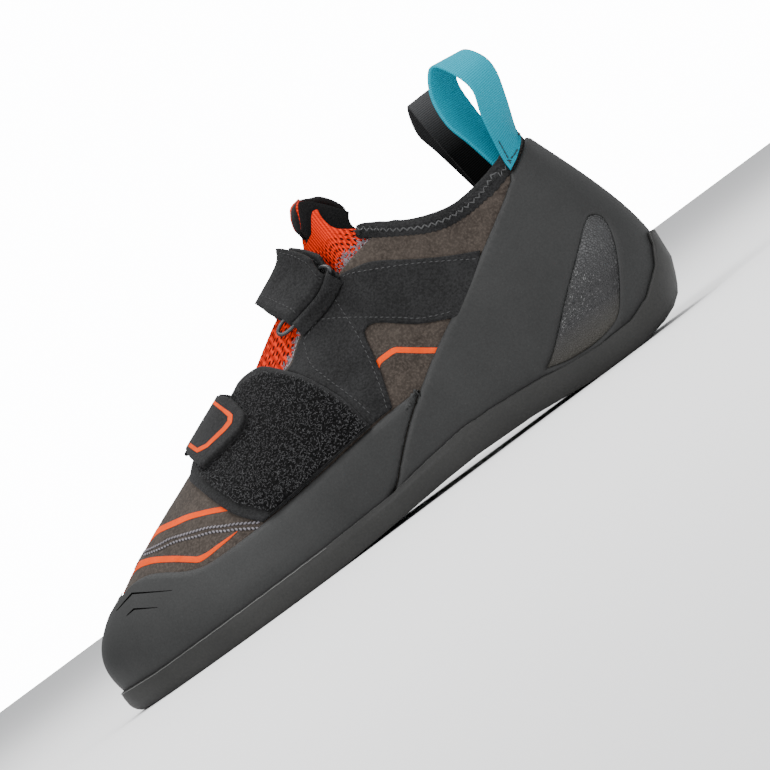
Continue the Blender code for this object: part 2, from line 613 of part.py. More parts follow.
def tube(bm, centres, radius, sides=WIRE_SIDES):
    """Closed wire along a closed line of centres."""
    count = len(centres)
    rings = []
    plane = np.cross(centres[1] - centres[0], centres[count // 3] - centres[0])
    plane /= np.linalg.norm(plane)
    for k in range(count):
        way = centres[(k + 1) % count] - centres[k - 1]
        way /= np.linalg.norm(way)
        out = np.cross(way, plane)
        out /= np.linalg.norm(out)
        spin = [2 * math.pi * j / sides for j in range(sides)]
        spokes = [out * math.cos(angle) + plane * math.sin(angle) for angle in spin]
        rings.append([bm.verts.new(centres[k] + radius * spoke) for spoke in spokes])
    for k in range(count):
        one, two = rings[k], rings[(k + 1) % count]
        for j in range(sides):
            bm.faces.new((one[j], one[(j + 1) % sides], two[(j + 1) % sides], two[j]))


def ring(name, side, left, right, offset, anchor, leg):
    """Flat ring through a strap's fold, and the loop that ties it to the shoe."""
    a, b = [trace(x, z, ANCHOR_TOP[1]) for x, z in anchor]
    top_left, top_right = on_last(side, *left, offset), on_last(side, *right, offset)
    low_offset = (ANCHOR_LOW[1] + ANCHOR_TOP[0]) / 2
    low_left, low_right = on_last(side, *a, low_offset), on_last(side, *b, low_offset)
    wide = float(np.linalg.norm(top_right - top_left))
    tall = float(np.linalg.norm(top_left + top_right - low_left - low_right)) / 2
    half_wide, half_tall = wide / 2 + RING_SPARE, tall / 2
    turn = half_tall * ROUND_CORNER
    places = [np.array(place) for place in (left, right, a, b)]
    centres = []
    for quarter, (sx, sy) in enumerate(((1, 1), (-1, 1), (-1, -1), (1, -1))):
        for step in range(CORNER_STEPS + 1):
            angle = math.pi / 2 * (quarter + step / CORNER_STEPS)
            x = sx * (half_wide - turn) + turn * math.cos(angle)
            y = sy * (half_tall - turn) + turn * math.sin(angle)
            centres.append((x / wide + 0.5, 0.5 - y / tall))
        if sy != (1, 1, -1, -1)[(quarter + 1) % 4]:
            continue
        start, end = centres[-1][0], 1.0 - centres[-1][0]
        centres += [(start + (end - start) * k / 4, centres[-1][1]) for k in (1, 2, 3)]
    line = []
    for s, t in centres:
        top = places[0] + (places[1] - places[0]) * s
        low = places[2] + (places[3] - places[2]) * s
        u, h = top + (low - top) * t
        line.append(on_last(side, u, h, offset + (low_offset - offset) * t))
    centres = line
    bm = bmesh.new()
    tube(bm, centres, RING_WIRE / 2)
    finish(name, bm, METAL_BLACK, 0.45)
    leg_places = [trace(x, z, ANCHOR_TOP[1]) for x, z in leg]
    outline = [a, b, leg_places[1], leg_places[0]]
    bm = bmesh.new()
    folds = {side: (a, b)}
    rows_a = sheet(bm, {side: (outline, [])}, *ANCHOR_LOW, folds)[side]
    rows_b = sheet(bm, {side: (outline, [])}, *ANCHOR_TOP, folds)[side]
    bend(bm, rows_a, rows_b, ANCHOR_LOW, ANCHOR_TOP, -1)
    finish(name + "_loop", bm, MICROFIBRE, 0.85)


def build_upper_strap():
    front, rear = traced(UPPER_FRONT, UPPER_BACK[1]), traced(UPPER_REAR, UPPER_BACK[1])
    ridge = [crown_place(UPPER_RIDGE[0]), crown_place(UPPER_RIDGE[1])]
    near = [ridge[0]] + front + rear + [ridge[1]]
    far_low = [ridge[0]] + [trace(x, z, UPPER_IN[1]) for x, z in FAR_PATCH] + [ridge[1]]
    far_top = [ridge[0]] + [trace(x, z, UPPER_BACK[1]) for x, z in FAR_BACK] + [ridge[1]]
    fold = (front[-1], rear[0])
    bm = bmesh.new()
    rows_a = sheet(bm, {NEAR: (near, []), FAR: (far_low, [])}, *UPPER_IN, {NEAR: fold})[NEAR]
    rows_b = sheet(bm, {NEAR: (near, []), FAR: (far_top, [])}, *UPPER_BACK, {NEAR: fold})[NEAR]
    bend(bm, rows_a, rows_b, UPPER_IN, UPPER_BACK, 1)
    finish("upper_strap", bm, MICROFIBRE, 0.85)
    pile_low = UPPER_IN[1] + GAP
    pile = [trace(x, z, pile_low) for x, z in FAR_PILE]
    laid("upper_strap_pile", {FAR: (pile, [])}, pile_low, pile_low + PILE, PILE_BLACK, 0.95)
    tab_low = pile_low + PILE + GAP
    tab = [trace(x, z, UPPER_BACK[1]) for x, z in FAR_TAB]
    laid("upper_strap_tab", {FAR: (tab, [])}, tab_low, tab_low + TAB, MICROFIBRE, 0.7)
    ring("upper_ring", NEAR, fold[0], fold[1], (UPPER_IN[1] + UPPER_BACK[0]) / 2, UPPER_ANCHOR, UPPER_LEG)


def build_tongue():
    start, leaves = crown_place(TONGUE_START), crown_place(TONGUE_LEAVES)
    low = [trace(x, z) for x, z in TONGUE_LOW]
    near = [start] + low + [trace(x, z) for x, z in TONGUE_NEAR] + [leaves]
    peak = [(float(u), float(ROWS)) for u in range(RIDGE_COLUMN + 2, RIDGE_COLUMN - 1, -1)]
    far = [start] + low + [trace(x, z) for x, z in TONGUE_FAR] + peak + [leaves]
    laid("tongue", {NEAR: (near, []), FAR: (far, [])}, TONGUE_IN, TONGUE_OUT, KNIT_ORANGE, 0.9)
    inner = [trace(x, z) for x, z in LINING_LOW]
    flap = inner + [leaves] + list(reversed(peak))
    laid("tongue_lining", {FAR: (flap, [])}, LINING_OUT - LINING, LINING_OUT, MICROFIBRE, 0.85)


def lift(x):
    """Height of the sole's underside above the floor."""
    return float(np.interp(x, (ARCH_LINE[:, 0] - 2.0) * UX, ARCH_LINE[:, 1] * UZ))


def edge_row(side, u):
    """Row place where the sole's top edge crosses a column."""
    out = SOLE_IN + SOLE_LIP
    for h in np.linspace(0.05, ROWS / 2, 400):
        point = on_last(side, u, h, out)
        if point[2] >= np.interp(point[0] + HEEL_SPOT, (EDGE_LINE[:, 0] - 2.0) * UX, EDGE_LINE[:, 1] * UZ):
            return float(h)
    return ROWS / 2


def sole_thickness(side, u, h):
    """Outer face of the sole's rim, a little fuller low down."""
    share = max(0.0, 1.0 - h / edge_row(side, u))
    return SOLE_IN + SOLE_LIP * (1.0 + share)


def sole_edge(side, u, shoulder):
    """Points from the rim's outer foot down round the bevel to the bottom edge."""
    way = out_way(loop_place(side, float(np.interp(u, range(COLUMNS + 1), COLUMN_AT))))
    foot_x = on_last(side, u, 0.0, 0.0)[0] + HEEL_SPOT
    table = (BEVEL_LINE[:, 0] - 2.0) * UX
    into = float(np.interp(foot_x, table, BEVEL_LINE[:, 1])) * UY
    bottom = shoulder - way * into
    bottom[2] = lift(bottom[0] + HEEL_SPOT)
    points = []
    for share in (0.4, 0.75):
        angle = share * math.pi / 2
        turn = shoulder - way * into * (1 - math.cos(angle))
        turn[2] = shoulder[2] - (shoulder[2] - bottom[2]) * math.sin(angle)
        points.append(turn)
    return points + [bottom]


def build_sole():
    bm = bmesh.new()
    sides, folds = {}, {}
    for side in (NEAR, FAR):
        rim = [(float(u), edge_row(side, u)) for u in range(COLUMNS, -1, -1)]
        sides[side] = ([(0.0, 0.0), (float(COLUMNS), 0.0)] + rim, [])
        folds[side] = ((0.0, 0.0), (float(COLUMNS), 0.0))
    rims = sheet(bm, sides, SOLE_IN, sole_thickness, folds)
    sections = []
    for u in range(COLUMNS + 1):
        pair = []
        for side in (NEAR, FAR):
            share, side, place, low, top = rims[side][u]
            if side == FAR and u in (0, COLUMNS):
                pair.append(pair[0])
                continue
            floor = bm.verts.new(low.co - Vector((0, 0, GAP)))
            edge = [bm.verts.new(p) for p in sole_edge(side, u, np.array(top.co))]
            pair.append(([low, floor], [top] + edge))
        sections.append(pair)
    for one, two in zip(sections, sections[1:]):
        for side in (NEAR, FAR):
            for part in (0, 1):
                a, b = one[side][part], two[side][part]
                for k in range(len(a) - 1):
                    bm.faces.new((a[k], b[k], b[k + 1], a[k + 1]))
    for part in (0, 1):
        middles = []
        for near, far in sections:
            a, b = near[part][-1], far[part][-1]
            middles.append(a if a is b else bm.verts.new((a.co + b.co) / 2))
        for k in range(COLUMNS):
            for side in (NEAR, FAR):
                one, two = sections[k][side][part][-1], sections[k + 1][side][part][-1]
                corners = [one, two, middles[k + 1], middles[k]]
                bm.faces.new(list(dict.fromkeys(corners)))
    finish("outsole", bm, RUBBER_BLACK, 0.6)


def build_insole():
    bm = bmesh.new()
    rows = []
    for u in range(COLUMNS + 1):
        ends = []
        for side in (NEAR, FAR):
            point = on_last(side, u, 0.0, -(WALL + 2 * GAP))
            ends.append((point, point + np.array((0, 0, INSOLE))))
        if u in (0, COLUMNS):
            low, top = bm.verts.new(ends[0][0]), bm.verts.new(ends[0][1])
            rows.append(((low, low, low), (top, top, top)))
            continue
        levels = []
        for level in (0, 1):
            a, b = ends[0][level], ends[1][level]
            levels.append(tuple(bm.verts.new(p) for p in (a, (a + b) / 2, b)))
        rows.append(tuple(levels))
    for one, two in zip(rows, rows[1:]):
        for level in (0, 1):
            for k in (0, 1):
                corners = [one[level][k], one[level][k + 1], two[level][k + 1], two[level][k]]
                bm.faces.new(list(dict.fromkeys(corners)))
        for k in (0, 2):
            corners = [one[0][k], one[1][k], two[1][k], two[0][k]]
            bm.faces.new(list(dict.fromkeys(corners)))
    finish("insole", bm, MICROFIBRE, 0.9)


def loop_rows(side, base, crown, free, inside):
    """Control rows of a pull loop from its outer end over the top to its inner end."""
    def laid_row(ends, offset):
        left, right = trace(*ends[0], offset), trace(*ends[1], offset)
        shares = np.linspace(0, 1, 5)
        return [on_last(side, left[0] + (right[0] - left[0]) * t, left[1] + (right[1] - left[1]) * t, offset)
                for t in shares]
    def free_row(ends):
        left = np.array(((ends[0][0] - 2) * UX - HEEL_SPOT, ends[0][1] * UY, ends[0][2] * UZ))
        right = np.array(((ends[1][0] - 2) * UX - HEEL_SPOT, ends[1][1] * UY, ends[1][2] * UZ))
        return [left + (right - left) * t for t in np.linspace(0, 1, 5)]
    outer = BINDING - WALL - GAP + WEB_THICK / 2 + 3 * GAP
    inner = -(WALL + 2 * GAP) - WEB_THICK / 2 - GAP
    rows = [laid_row(base, outer), laid_row(crown, outer)]
    rows += [free_row(ends) for ends in free]
    rows += [laid_row(ends, inner) for ends in inside]
    return rows


def web(name, rows, color, per_row=2):
    """Webbing band through control rows, drawn with a smooth curve along each string."""
    strings = []
    for k in range(len(rows[0])):
        strings.append(smooth([row[k] for row in rows], per_row))
    middle = np.array(strings).transpose(1, 0, 2)
    along = np.gradient(middle, axis=0)
    across = np.gradient(middle, axis=1)
    normal = np.cross(along, across)
    normal /= np.linalg.norm(normal, axis=2, keepdims=True)
    bm = bmesh.new()
    faces = []
    for sign in (1, -1):
        grid = middle + normal * (sign * WEB_THICK / 2)
        faces.append([[bm.verts.new(p) for p in row] for row in grid])
    top, low = faces
    rows_n, cols_n = len(top), len(top[0])
    for i in range(rows_n - 1):
        for j in range(cols_n - 1):
            bm.faces.new((top[i][j], top[i][j + 1], top[i + 1][j + 1], top[i + 1][j]))
            bm.faces.new((low[i][j], low[i + 1][j], low[i + 1][j + 1], low[i][j + 1]))
        for j in (0, cols_n - 1):
            bm.faces.new((top[i][j], top[i + 1][j], low[i + 1][j], low[i][j]))
    for i in (0, rows_n - 1):
        for j in range(cols_n - 1):
            bm.faces.new((top[i][j], top[i][j + 1], low[i][j + 1], low[i][j]))
    finish(name, bm, color, 0.75)


def build_pull_loops():
    near = loop_rows(NEAR, ((236.8, 81.0), (248.0, 89.0)), ((237.2, 87.6), (248.4, 93.2)),
                     [((240, -27.5, 103), (252, -14, 104)), ((243, -28, 113), (255, -16, 115)),
                      ((241, -26, 122), (254, -15, 122.5)), ((236, -20, 129.3), (249, -11, 128)),
                      ((230, -16, 121), (242, -8, 121)), ((228.5, -16.5, 109), (241, -8, 108)),
                      ((231, -18, 98), (241.5, -11, 98))], [((233.5, 84), (242.8, 87))])
    web("outer_pull_loop", near, WEB_BLUE)
    far = loop_rows(FAR, ((225.5, 79.0), (238.5, 82.0)), ((225.0, 84.0), (238.3, 87.0)),
                    [((221.5, 31, 104), (235, 28, 105)), ((219.3, 29, 115), (233.5, 27, 116.5)),
                     ((222, 22, 124.8), (236, 21, 125)), ((222.5, 17, 116), (236, 16, 116)),
                     ((223.5, 18, 103), (236, 16, 103))], [((226, 81), (237.5, 83.5))])
    web("inner_pull_loop", far, WEB_GREY)


def build_all():
    build_upper()
    build_rands()
    build_overlays()
    build_lower_strap()
    build_upper_strap()
    build_tongue()
    build_sole()
    build_insole()
    build_pull_loops()


for old in list(bpy.data.objects):
    bpy.data.objects.remove(old, do_unlink=True)
build_all()
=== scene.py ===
"""Looks of an empty low-cut climbing shoe, left foot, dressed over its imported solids."""

import math

import bmesh
import bpy
import numpy as np
from mathutils import Matrix, Vector


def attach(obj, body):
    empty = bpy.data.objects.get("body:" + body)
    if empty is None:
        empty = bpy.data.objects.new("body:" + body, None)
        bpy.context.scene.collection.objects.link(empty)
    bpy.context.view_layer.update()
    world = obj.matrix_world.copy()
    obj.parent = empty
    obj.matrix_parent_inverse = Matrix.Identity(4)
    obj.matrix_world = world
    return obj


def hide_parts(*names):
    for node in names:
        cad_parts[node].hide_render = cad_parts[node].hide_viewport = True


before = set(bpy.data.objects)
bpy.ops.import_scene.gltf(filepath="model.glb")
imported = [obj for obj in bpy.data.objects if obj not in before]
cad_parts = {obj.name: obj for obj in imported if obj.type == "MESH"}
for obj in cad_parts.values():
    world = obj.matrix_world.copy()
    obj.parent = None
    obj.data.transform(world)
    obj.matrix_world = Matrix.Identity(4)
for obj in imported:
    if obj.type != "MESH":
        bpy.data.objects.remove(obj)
for startup in ("Cube", "Light", "Camera"):
    if startup in bpy.data.objects:
        bpy.data.objects.remove(bpy.data.objects[startup], do_unlink=True)
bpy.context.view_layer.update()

MM = 0.001
NEAR, FAR = 0, 1
HEEL_SPOT = 226.0
TOE_PLANE = 2.0

# Thicknesses and layers off the last, in millimetres.
WALL = 1.8
RUBBER = 1.6
GAP = 0.3
SEAM = 0.5
SOLE_LIP = 1.3
INSOLE = 2.5
OVERLAY = 1.0
INLAY = 0.6
STRAP = 1.5
PILE = 1.5
TAB = 2.7
BINDING = 2.5
BINDING_TALL = 7.0
TONGUE = 1.5
RING_WIRE = 1.6
WEB = 1.3
SOLE_IN = GAP + RUBBER + GAP
PATCH_OUT = GAP + STRAP
PILE_IN = PATCH_OUT + GAP
PILE_OUT = PILE_IN + PILE
BACK_IN = PILE_OUT + 3 * GAP
TAB_IN = PILE_OUT + GAP
TAB_OUT = TAB_IN + TAB
ANCHOR_IN = GAP + OVERLAY + GAP
HOLE = RING_WIRE + 4 * GAP
ANCHOR_TOP = ANCHOR_IN + 1.0 + HOLE
UPPER_A = ANCHOR_IN + STRAP / 2
UPPER_B = ANCHOR_IN + STRAP * 1.5 + HOLE
TONGUE_OUT = -(WALL + 2.4 * GAP)

# Depth of the thread in the layer that it is sewn through, and the spacing of points along the foot line.
STITCH_UP = 0.02
FOOT_STEP = 1.5

# Stations round the last from toe tip to heel, in millimetres: foot x, foot z, outer y, inner y,
# crown x, crown z, ridge y, half opening, belly out, belly up, shoulder out, shoulder down.
STATIONS = np.array([
    (5.0, 6.0, 13.0, 13.0, 31.0, 44.3, 12.0, 0.0, 7.0, 20.0, 24.0, 13.0),
    (7.5, 6.0, 3.0, 22.0, 32.5, 45.0, 12.0, 0.0, 7.0, 20.0, 24.0, 12.5),
    (14.0, 6.0, -7.0, 29.5, 36.0, 46.8, 12.0, 0.0, 7.0, 19.0, 22.0, 10.0),
    (24.0, 6.0, -17.5, 34.0, 42.0, 49.5, 11.5, 0.0, 7.0, 18.0, 21.0, 7.0),
    (39.0, 6.0, -28.5, 37.0, 52.0, 54.0, 11.0, 0.0, 7.0, 19.0, 19.0, 5.0),
    (58.0, 6.0, -37.0, 39.3, 67.0, 60.0, 10.0, 0.0, 7.5, 21.0, 19.0, 4.0),
    (80.0, 6.0, -42.0, 39.8, 86.0, 68.0, 8.0, 0.0, 8.0, 24.0, 18.0, 4.0),
    (103.0, 6.5, -41.5, 36.0, 106.0, 76.8, 6.0, 0.0, 8.5, 28.0, 16.0, 6.0),
    (127.0, 8.0, -38.5, 30.5, 129.0, 90.3, 4.0, 0.0, 9.0, 34.0, 14.0, 9.0),
    (147.0, 9.5, -35.5, 26.5, 149.0, 100.0, 2.0, 0.0, 9.0, 38.0, 12.0, 14.0),
    (157.0, 10.0, -34.0, 25.0, 156.3, 110.5, 1.0, 0.0, 9.0, 40.0, 10.0, 20.0),
    (166.0, 10.0, -33.0, 24.5, 164.0, 121.0, 0.0, 3.0, 9.0, 40.0, 12.0, 24.0),
    (175.0, 10.0, -32.0, 24.0, 178.0, 108.0, 0.0, 15.0, 9.0, 38.0, 6.0, 24.0),
    (185.0, 9.5, -30.5, 24.0, 189.0, 92.3, 0.0, 24.0, 9.0, 34.0, 3.0, 24.0),
    (202.0, 8.0, -28.5, 25.0, 206.0, 84.5, 0.0, 28.0, 9.0, 26.0, 3.0, 26.0),
    (219.0, 6.5, -27.5, 26.0, 220.0, 84.3, 0.0, 28.0, 9.0, 24.0, 3.0, 28.0),
    (236.0, 6.5, -25.5, 24.5, 234.0, 87.5, 0.0, 24.0, 9.5, 24.0, 4.0, 30.0),
    (248.0, 8.0, -20.0, 19.5, 241.5, 91.8, 0.0, 17.0, 10.5, 20.0, 6.0, 30.0),
    (254.5, 11.0, -10.5, 10.5, 243.8, 94.4, 0.0, 8.5, 15.0, 16.0, 8.0, 28.0),
    (256.5, 13.0, 0.0, 0.0, 244.6, 95.4, 0.0, 0.0, 17.0, 14.0, 8.5, 26.0),
])
LAST_STATION = len(STATIONS) - 1
RIDGE_END = 10
COLLAR_START = 13

# The pattern of the shoe is drawn flat, in about millimetres: s runs from the toe tip to the heel
# and v from the foot line of the near side over the ridge to the foot line of the far side.
S_STEP = 13.5
S_END = LAST_STATION * S_STEP
V_TOP = 75.0
FINE_R = 16
FINE_T = 90


def through(a, b, c, d, t):
    """Point at a share of the way from b to c on a smooth line through four points."""
    square, cube = 2 * a - 5 * b + 4 * c - d, 3 * b - a - 3 * c + d
    return 0.5 * (2 * b + (c - a) * t + square * t * t + cube * t ** 3)


def between(table, place):
    """Smooth values at places between the rows of a table that closes on itself."""
    place = np.asarray(place, float)
    i = np.floor(place).astype(int)
    t = (place - i)[..., None]
    return through(*(table[(i + k) % len(table)] for k in (-1, 0, 1, 2)), t)


def station_loops():
    """Foot, crown and handle lengths, near side out and far side back."""
    foot, crown, handle = [], [], []
    order = [(k, NEAR) for k in range(LAST_STATION + 1)]
    order += [(k, FAR) for k in range(LAST_STATION - 1, 0, -1)]
    for k, side in order:
        fx, fz, outer, inner, cx, cz, ridge, gape, *handles = STATIONS[k]
        sign = -1 if side == NEAR else 1
        foot.append((fx, outer if side == NEAR else inner, fz))
        crown.append((cx, ridge + sign * gape, cz))
        handle.append(handles)
    return np.array(foot), np.array(crown), np.array(handle)


FOOT, CROWN, HANDLE = station_loops()
LOOP = len(FOOT)


def foot_outward(place):
    """Level directions that point away from the foot line at places round it."""
    step = between(FOOT, place + 0.25) - between(FOOT, place - 0.25)
    out = np.stack((step[:, 1], -step[:, 0], np.zeros(len(place))), axis=1)
    return out / np.linalg.norm(out, axis=1, keepdims=True)


def last_grid():
    """Points and outward normals of the last on a fine grid, near and far side."""
    r = np.linspace(0, LAST_STATION, LAST_STATION * FINE_R + 1)
    t = np.linspace(0, 1, FINE_T + 1)[None, :, None]
    points, outs = [], []
    for side in (NEAR, FAR):
        place = r if side == NEAR else (LOOP - r) % LOOP
        foot, crown, handle = between(FOOT, place), between(CROWN, place), between(HANDLE, place)
        other = between(CROWN, (LOOP - place) % LOOP)
        ridge = r <= RIDGE_END
        crown[ridge] = (crown[ridge] + other[ridge]) / 2
        out = foot_outward(place)
        up = np.array((0.0, 0.0, 1.0))
        low = foot + out * handle[:, :1] + up * handle[:, 1:2]
        high = crown + out * handle[:, 2:3] - up * handle[:, 3:4]
        foot, low, high, crown = (a[:, None, :] for a in (foot, low, high, crown))
        lower = (1 - t) ** 3 * foot + 3 * (1 - t) ** 2 * t * low
        points.append(lower + 3 * (1 - t) * t * t * high + t ** 3 * crown)
        outs.append(out)
    points = np.array(points)
    points[FAR, 0], points[FAR, -1] = points[NEAR, 0], points[NEAR, -1]
    return points, np.array(outs)


def soft(x):
    """Smooth step from 0 to 1."""
    x = np.clip(x, 0.0, 1.0)
    return x * x * (3 - 2 * x)


LEVEL_SHARE = 0.12
RIDGE_ROWS = 8


def grid_normals(points, outs):
    """Outward normals, shared where the two sides meet and level along the foot line."""
    normals = np.zeros_like(points)
    for side in (NEAR, FAR):
        along, up = np.gradient(points[side], axis=0), np.gradient(points[side], axis=1)
        cross = np.cross(along, up) if side == NEAR else np.cross(up, along)
        normals[side] = cross / np.maximum(np.linalg.norm(cross, axis=2, keepdims=True), 1e-9)
    share = soft(np.linspace(0, 1, FINE_T + 1) / LEVEL_SHARE)[None, None, :, None]
    normals = outs[:, :, None, :] * (1 - share) + normals * share
    ridge = slice(0, RIDGE_END * FINE_R + 1)
    for k in range(RIDGE_ROWS):
        weight = (1 - k / RIDGE_ROWS) / 2
        near, far = normals[NEAR, ridge, -1 - k].copy(), normals[FAR, ridge, -1 - k].copy()
        normals[NEAR, ridge, -1 - k] = near * (1 - weight) + far * weight
        normals[FAR, ridge, -1 - k] = far * (1 - weight) + near * weight
    for i in (0, -1):
        both = normals[NEAR, i] + normals[FAR, i]
        both[:, 1] = 0.0
        normals[NEAR, i] = both
        normals[FAR, i] = both
    tip = normals[NEAR, 2, -1] + normals[FAR, 2, -1] + normals[NEAR, 0, -4]
    normals[:, 0, -3:] = tip
    normals[:, 1, -1] = tip
    return normals / np.linalg.norm(normals, axis=3, keepdims=True)


def distance_along(points, line):
    """Distance of flat points to a drawn line, and how far along it the nearest spot is, 0 to 1."""
    line = np.asarray(line, float)
    best = np.full(points.shape[:-1], 1e9)
    share = np.zeros(points.shape[:-1])
    lengths = np.linalg.norm(np.diff(line, axis=0), axis=1)
    total, gone = lengths.sum(), 0.0
    for a, b, length in zip(line, line[1:], lengths):
        t = np.clip(((points - a) @ (b - a)) / length ** 2, 0, 1)
        gap = np.linalg.norm(points - (a + t[..., None] * (b - a)), axis=-1)
        share = np.where(gap < best, (gone + t * length) / total, share)
        best = np.minimum(best, gap)
        gone += length
    return best, share


POINTS, OUTS = last_grid()
NORMALS = grid_normals(POINTS, OUTS)


def folded(s, v):
    """Side, grid column and grid row of places of the pattern, which runs on over ridge, tip and heel."""
    s, v = np.asarray(s, float), np.asarray(v, float)
    far = (s < 0) | (s > S_END) | (v > V_TOP)
    s = np.abs(s)
    s = np.where(s > S_END, 2 * S_END - s, s)
    v = np.where(v > V_TOP, 2 * V_TOP - v, v)
    return far.astype(int), s / S_STEP * FINE_R, np.clip(v, 0, V_TOP) / V_TOP * FINE_T


def look_up(grid, s, v):
    """Value of a grid of the last at places of the flat pattern."""
    side, i, j = folded(s, v)
    i0 = np.clip(np.floor(i).astype(int), 0, grid.shape[1] - 2)
    j0 = np.clip(np.floor(j).astype(int), 0, grid.shape[2] - 2)
    a, b = (i - i0)[..., None], (j - j0)[..., None]
    low = grid[side, i0, j0] * (1 - a) + grid[side, i0 + 1, j0] * a
    high = grid[side, i0, j0 + 1] * (1 - a) + grid[side, i0 + 1, j0 + 1] * a
    return low * (1 - b) + high * b


def normal_at(s, v):
    way = look_up(NORMALS, s, v)
    return way / np.linalg.norm(way, axis=-1, keepdims=True)


def on_last(s, v, offset=0.0):
    """Points at a distance off the last, in the shoe's frame, in metres."""
    offset = np.asarray(offset, float)[..., None]
    point = look_up(POINTS, s, v) + normal_at(s, v) * offset
    return (point - np.array((HEEL_SPOT, 0.0, 0.0))) * MM


TRACE_STEPS = 8


def trace(points, offset=0.0):
    """Pattern places of points drawn on the near side: x from the toe plane, z from the floor."""
    shape = POINTS[NEAR] + NORMALS[NEAR] * offset
    turned_away = np.where(NORMALS[NEAR, :, :, 1] < 0.25, 0.0, 30.0)
    cells = np.array(shape.shape[:2]) - 1
    places = []
    for x, z in points:
        miss = np.hypot(shape[:, :, 0] - (x - TOE_PLANE), shape[:, :, 2] - z) + turned_away
        place = np.array(np.unravel_index(np.argmin(miss), miss.shape), float)
        for _ in range(TRACE_STEPS):
            i, j = np.clip(np.floor(place).astype(int), 0, cells - 1)
            a, b = place - (i, j)
            p00, p10, p01, p11 = shape[i, j], shape[i + 1, j], shape[i, j + 1], shape[i + 1, j + 1]
            here = p00 * (1 - a) * (1 - b) + p10 * a * (1 - b) + p01 * (1 - a) * b + p11 * a * b
            di = (p10 - p00) * (1 - b) + (p11 - p01) * b
            dj = (p01 - p00) * (1 - a) + (p11 - p10) * a
            slope = np.array(((di[0], dj[0]), (di[2], dj[2])))
            off = np.array((x - TOE_PLANE - here[0], z - here[2]))
            step = np.linalg.solve(slope.T @ slope + 1e-4 * np.eye(2), slope.T @ off)
            place = np.clip(place + np.clip(step, -3, 3), 0, cells)
        places.append((place[0] / FINE_R * S_STEP, place[1] / FINE_T * V_TOP))
    return places


def curve(points, spacing=1.0):
    """Smooth open line through drawn points, with a point about every spacing."""
    pts = np.array(points, float)
    pts = np.vstack((2 * pts[0] - pts[1], pts, 2 * pts[-1] - pts[-2]))
    result = []
    for a, b, c, d in zip(pts, pts[1:], pts[2:], pts[3:]):
        count = max(1, round(float(np.linalg.norm(c - b)) / spacing))
        result += [through(a, b, c, d, t) for t in np.arange(count) / count]
    return result + [pts[-2]]


def straight(points, spacing=1.0):
    """Corner to corner line with a point about every spacing."""
    result = []
    for a, b in zip(points, points[1:]):
        a, b = np.array(a, float), np.array(b, float)
        count = max(1, round(float(np.linalg.norm(b - a)) / spacing))
        result += [a + (b - a) * t for t in np.arange(count) / count]
    return result + [np.array(points[-1], float)]


def drawn(points, offset=0.0, shift=(0.0, 0.0)):
    """Pattern places of a smooth line drawn on the near side."""
    return trace([(x + shift[0], z + shift[1]) for x, z in curve(points)], offset)


def crown_place(x):
    """Pattern place on the ridge at a length along the shoe."""
    line = POINTS[NEAR, : RIDGE_END * FINE_R + 1, -1, 0]
    return float(np.interp(x - TOE_PLANE, line, np.arange(len(line)))) / FINE_R * S_STEP, V_TOP


def foot_place(x):
    """Pattern place on the foot line at a length along the shoe."""
    line = POINTS[NEAR, :, 0, 0]
    return float(np.interp(x - TOE_PLANE, line, np.arange(len(line)))) / FINE_R * S_STEP, 0.0


def over_ridge(points):
    """The same places on the far side, by way of the ridge."""
    return [(s, 2 * V_TOP - v) for s, v in points]


def over_tip(points):
    """The same places on the far side, by way of the toe tip."""
    return [(-s, v) for s, v in points]


def over_heel(points):
    """The same places on the far side, by way of the heel."""
    return [(2 * S_END - s, v) for s, v in points]


SAME_POINT = 0.15


def apart(a, b):
    """Flat distance between two places."""
    return np.hypot(a[0] - b[0], a[1] - b[1])


def loop_of(*lines):
    """Closed outline from lines that meet end to end, without double points."""
    result = []
    for line in lines:
        for p in line:
            if not result or apart(p, result[-1]) > SAME_POINT:
                result.append((float(p[0]), float(p[1])))
    while apart(result[0], result[-1]) < SAME_POINT:
        result.pop()
    return result


# Flat plates and bands.

# Rim steps of a plate's upper edge, each a width and a rise, and how far a sharp corner may move in one.
ROUNDED = ((0.25, 0.3), (0.35, 0.15))
CORNER_REACH = 1.5


def of_kind(geometry, kind):
    """The vertices, edges or faces among what an operator made."""
    return [one for one in geometry if isinstance(one, kind)]


def closed_edges(bm, verts):
    """Edges from vertex to vertex and back to the first."""
    return [bm.edges.new((a, b)) for a, b in zip(verts, verts[1:] + verts[:1])]


def flat_sheet(*outlines):
    """Flat sheet without thickness inside the first outline, with the others as holes."""
    bm = bmesh.new()
    for loop in outlines:
        closed_edges(bm, [bm.verts.new((s, v, 0.0)) for s, v in loop])
    bmesh.ops.triangle_fill(bm, use_beauty=True, use_dissolve=False, edges=bm.edges[:], normal=(0, 0, 1))
    return bm


def plate(outline, holes=(), rim=ROUNDED, wall=0.55):
    """Flat closed plate, one unit thick, with its upper edge rounded by the steps of its rim."""
    bm = flat_sheet(outline, *holes)
    raised = bmesh.ops.extrude_face_region(bm, geom=bm.faces[:], use_keep_orig=True)["geom"]
    top = of_kind(raised, bmesh.types.BMFace)
    bmesh.ops.translate(bm, verts=of_kind(raised, bmesh.types.BMVert), vec=(0, 0, wall))
    for width, rise in rim:
        before = [[corner.vert.co.copy() for corner in f.loops] for f in top]
        bmesh.ops.inset_region(bm, faces=top, thickness=width, use_boundary=True, use_even_offset=True)
        for face, places in zip(top, before):
            for corner, place in zip(face.loops, places):
                moved = corner.vert.co - place
                if moved.length > CORNER_REACH * width:
                    corner.vert.co = place + moved * (width / moved.length)
        bmesh.ops.translate(bm, verts=list({v for f in top for v in f.verts}), vec=(0, 0, rise))
    return bm


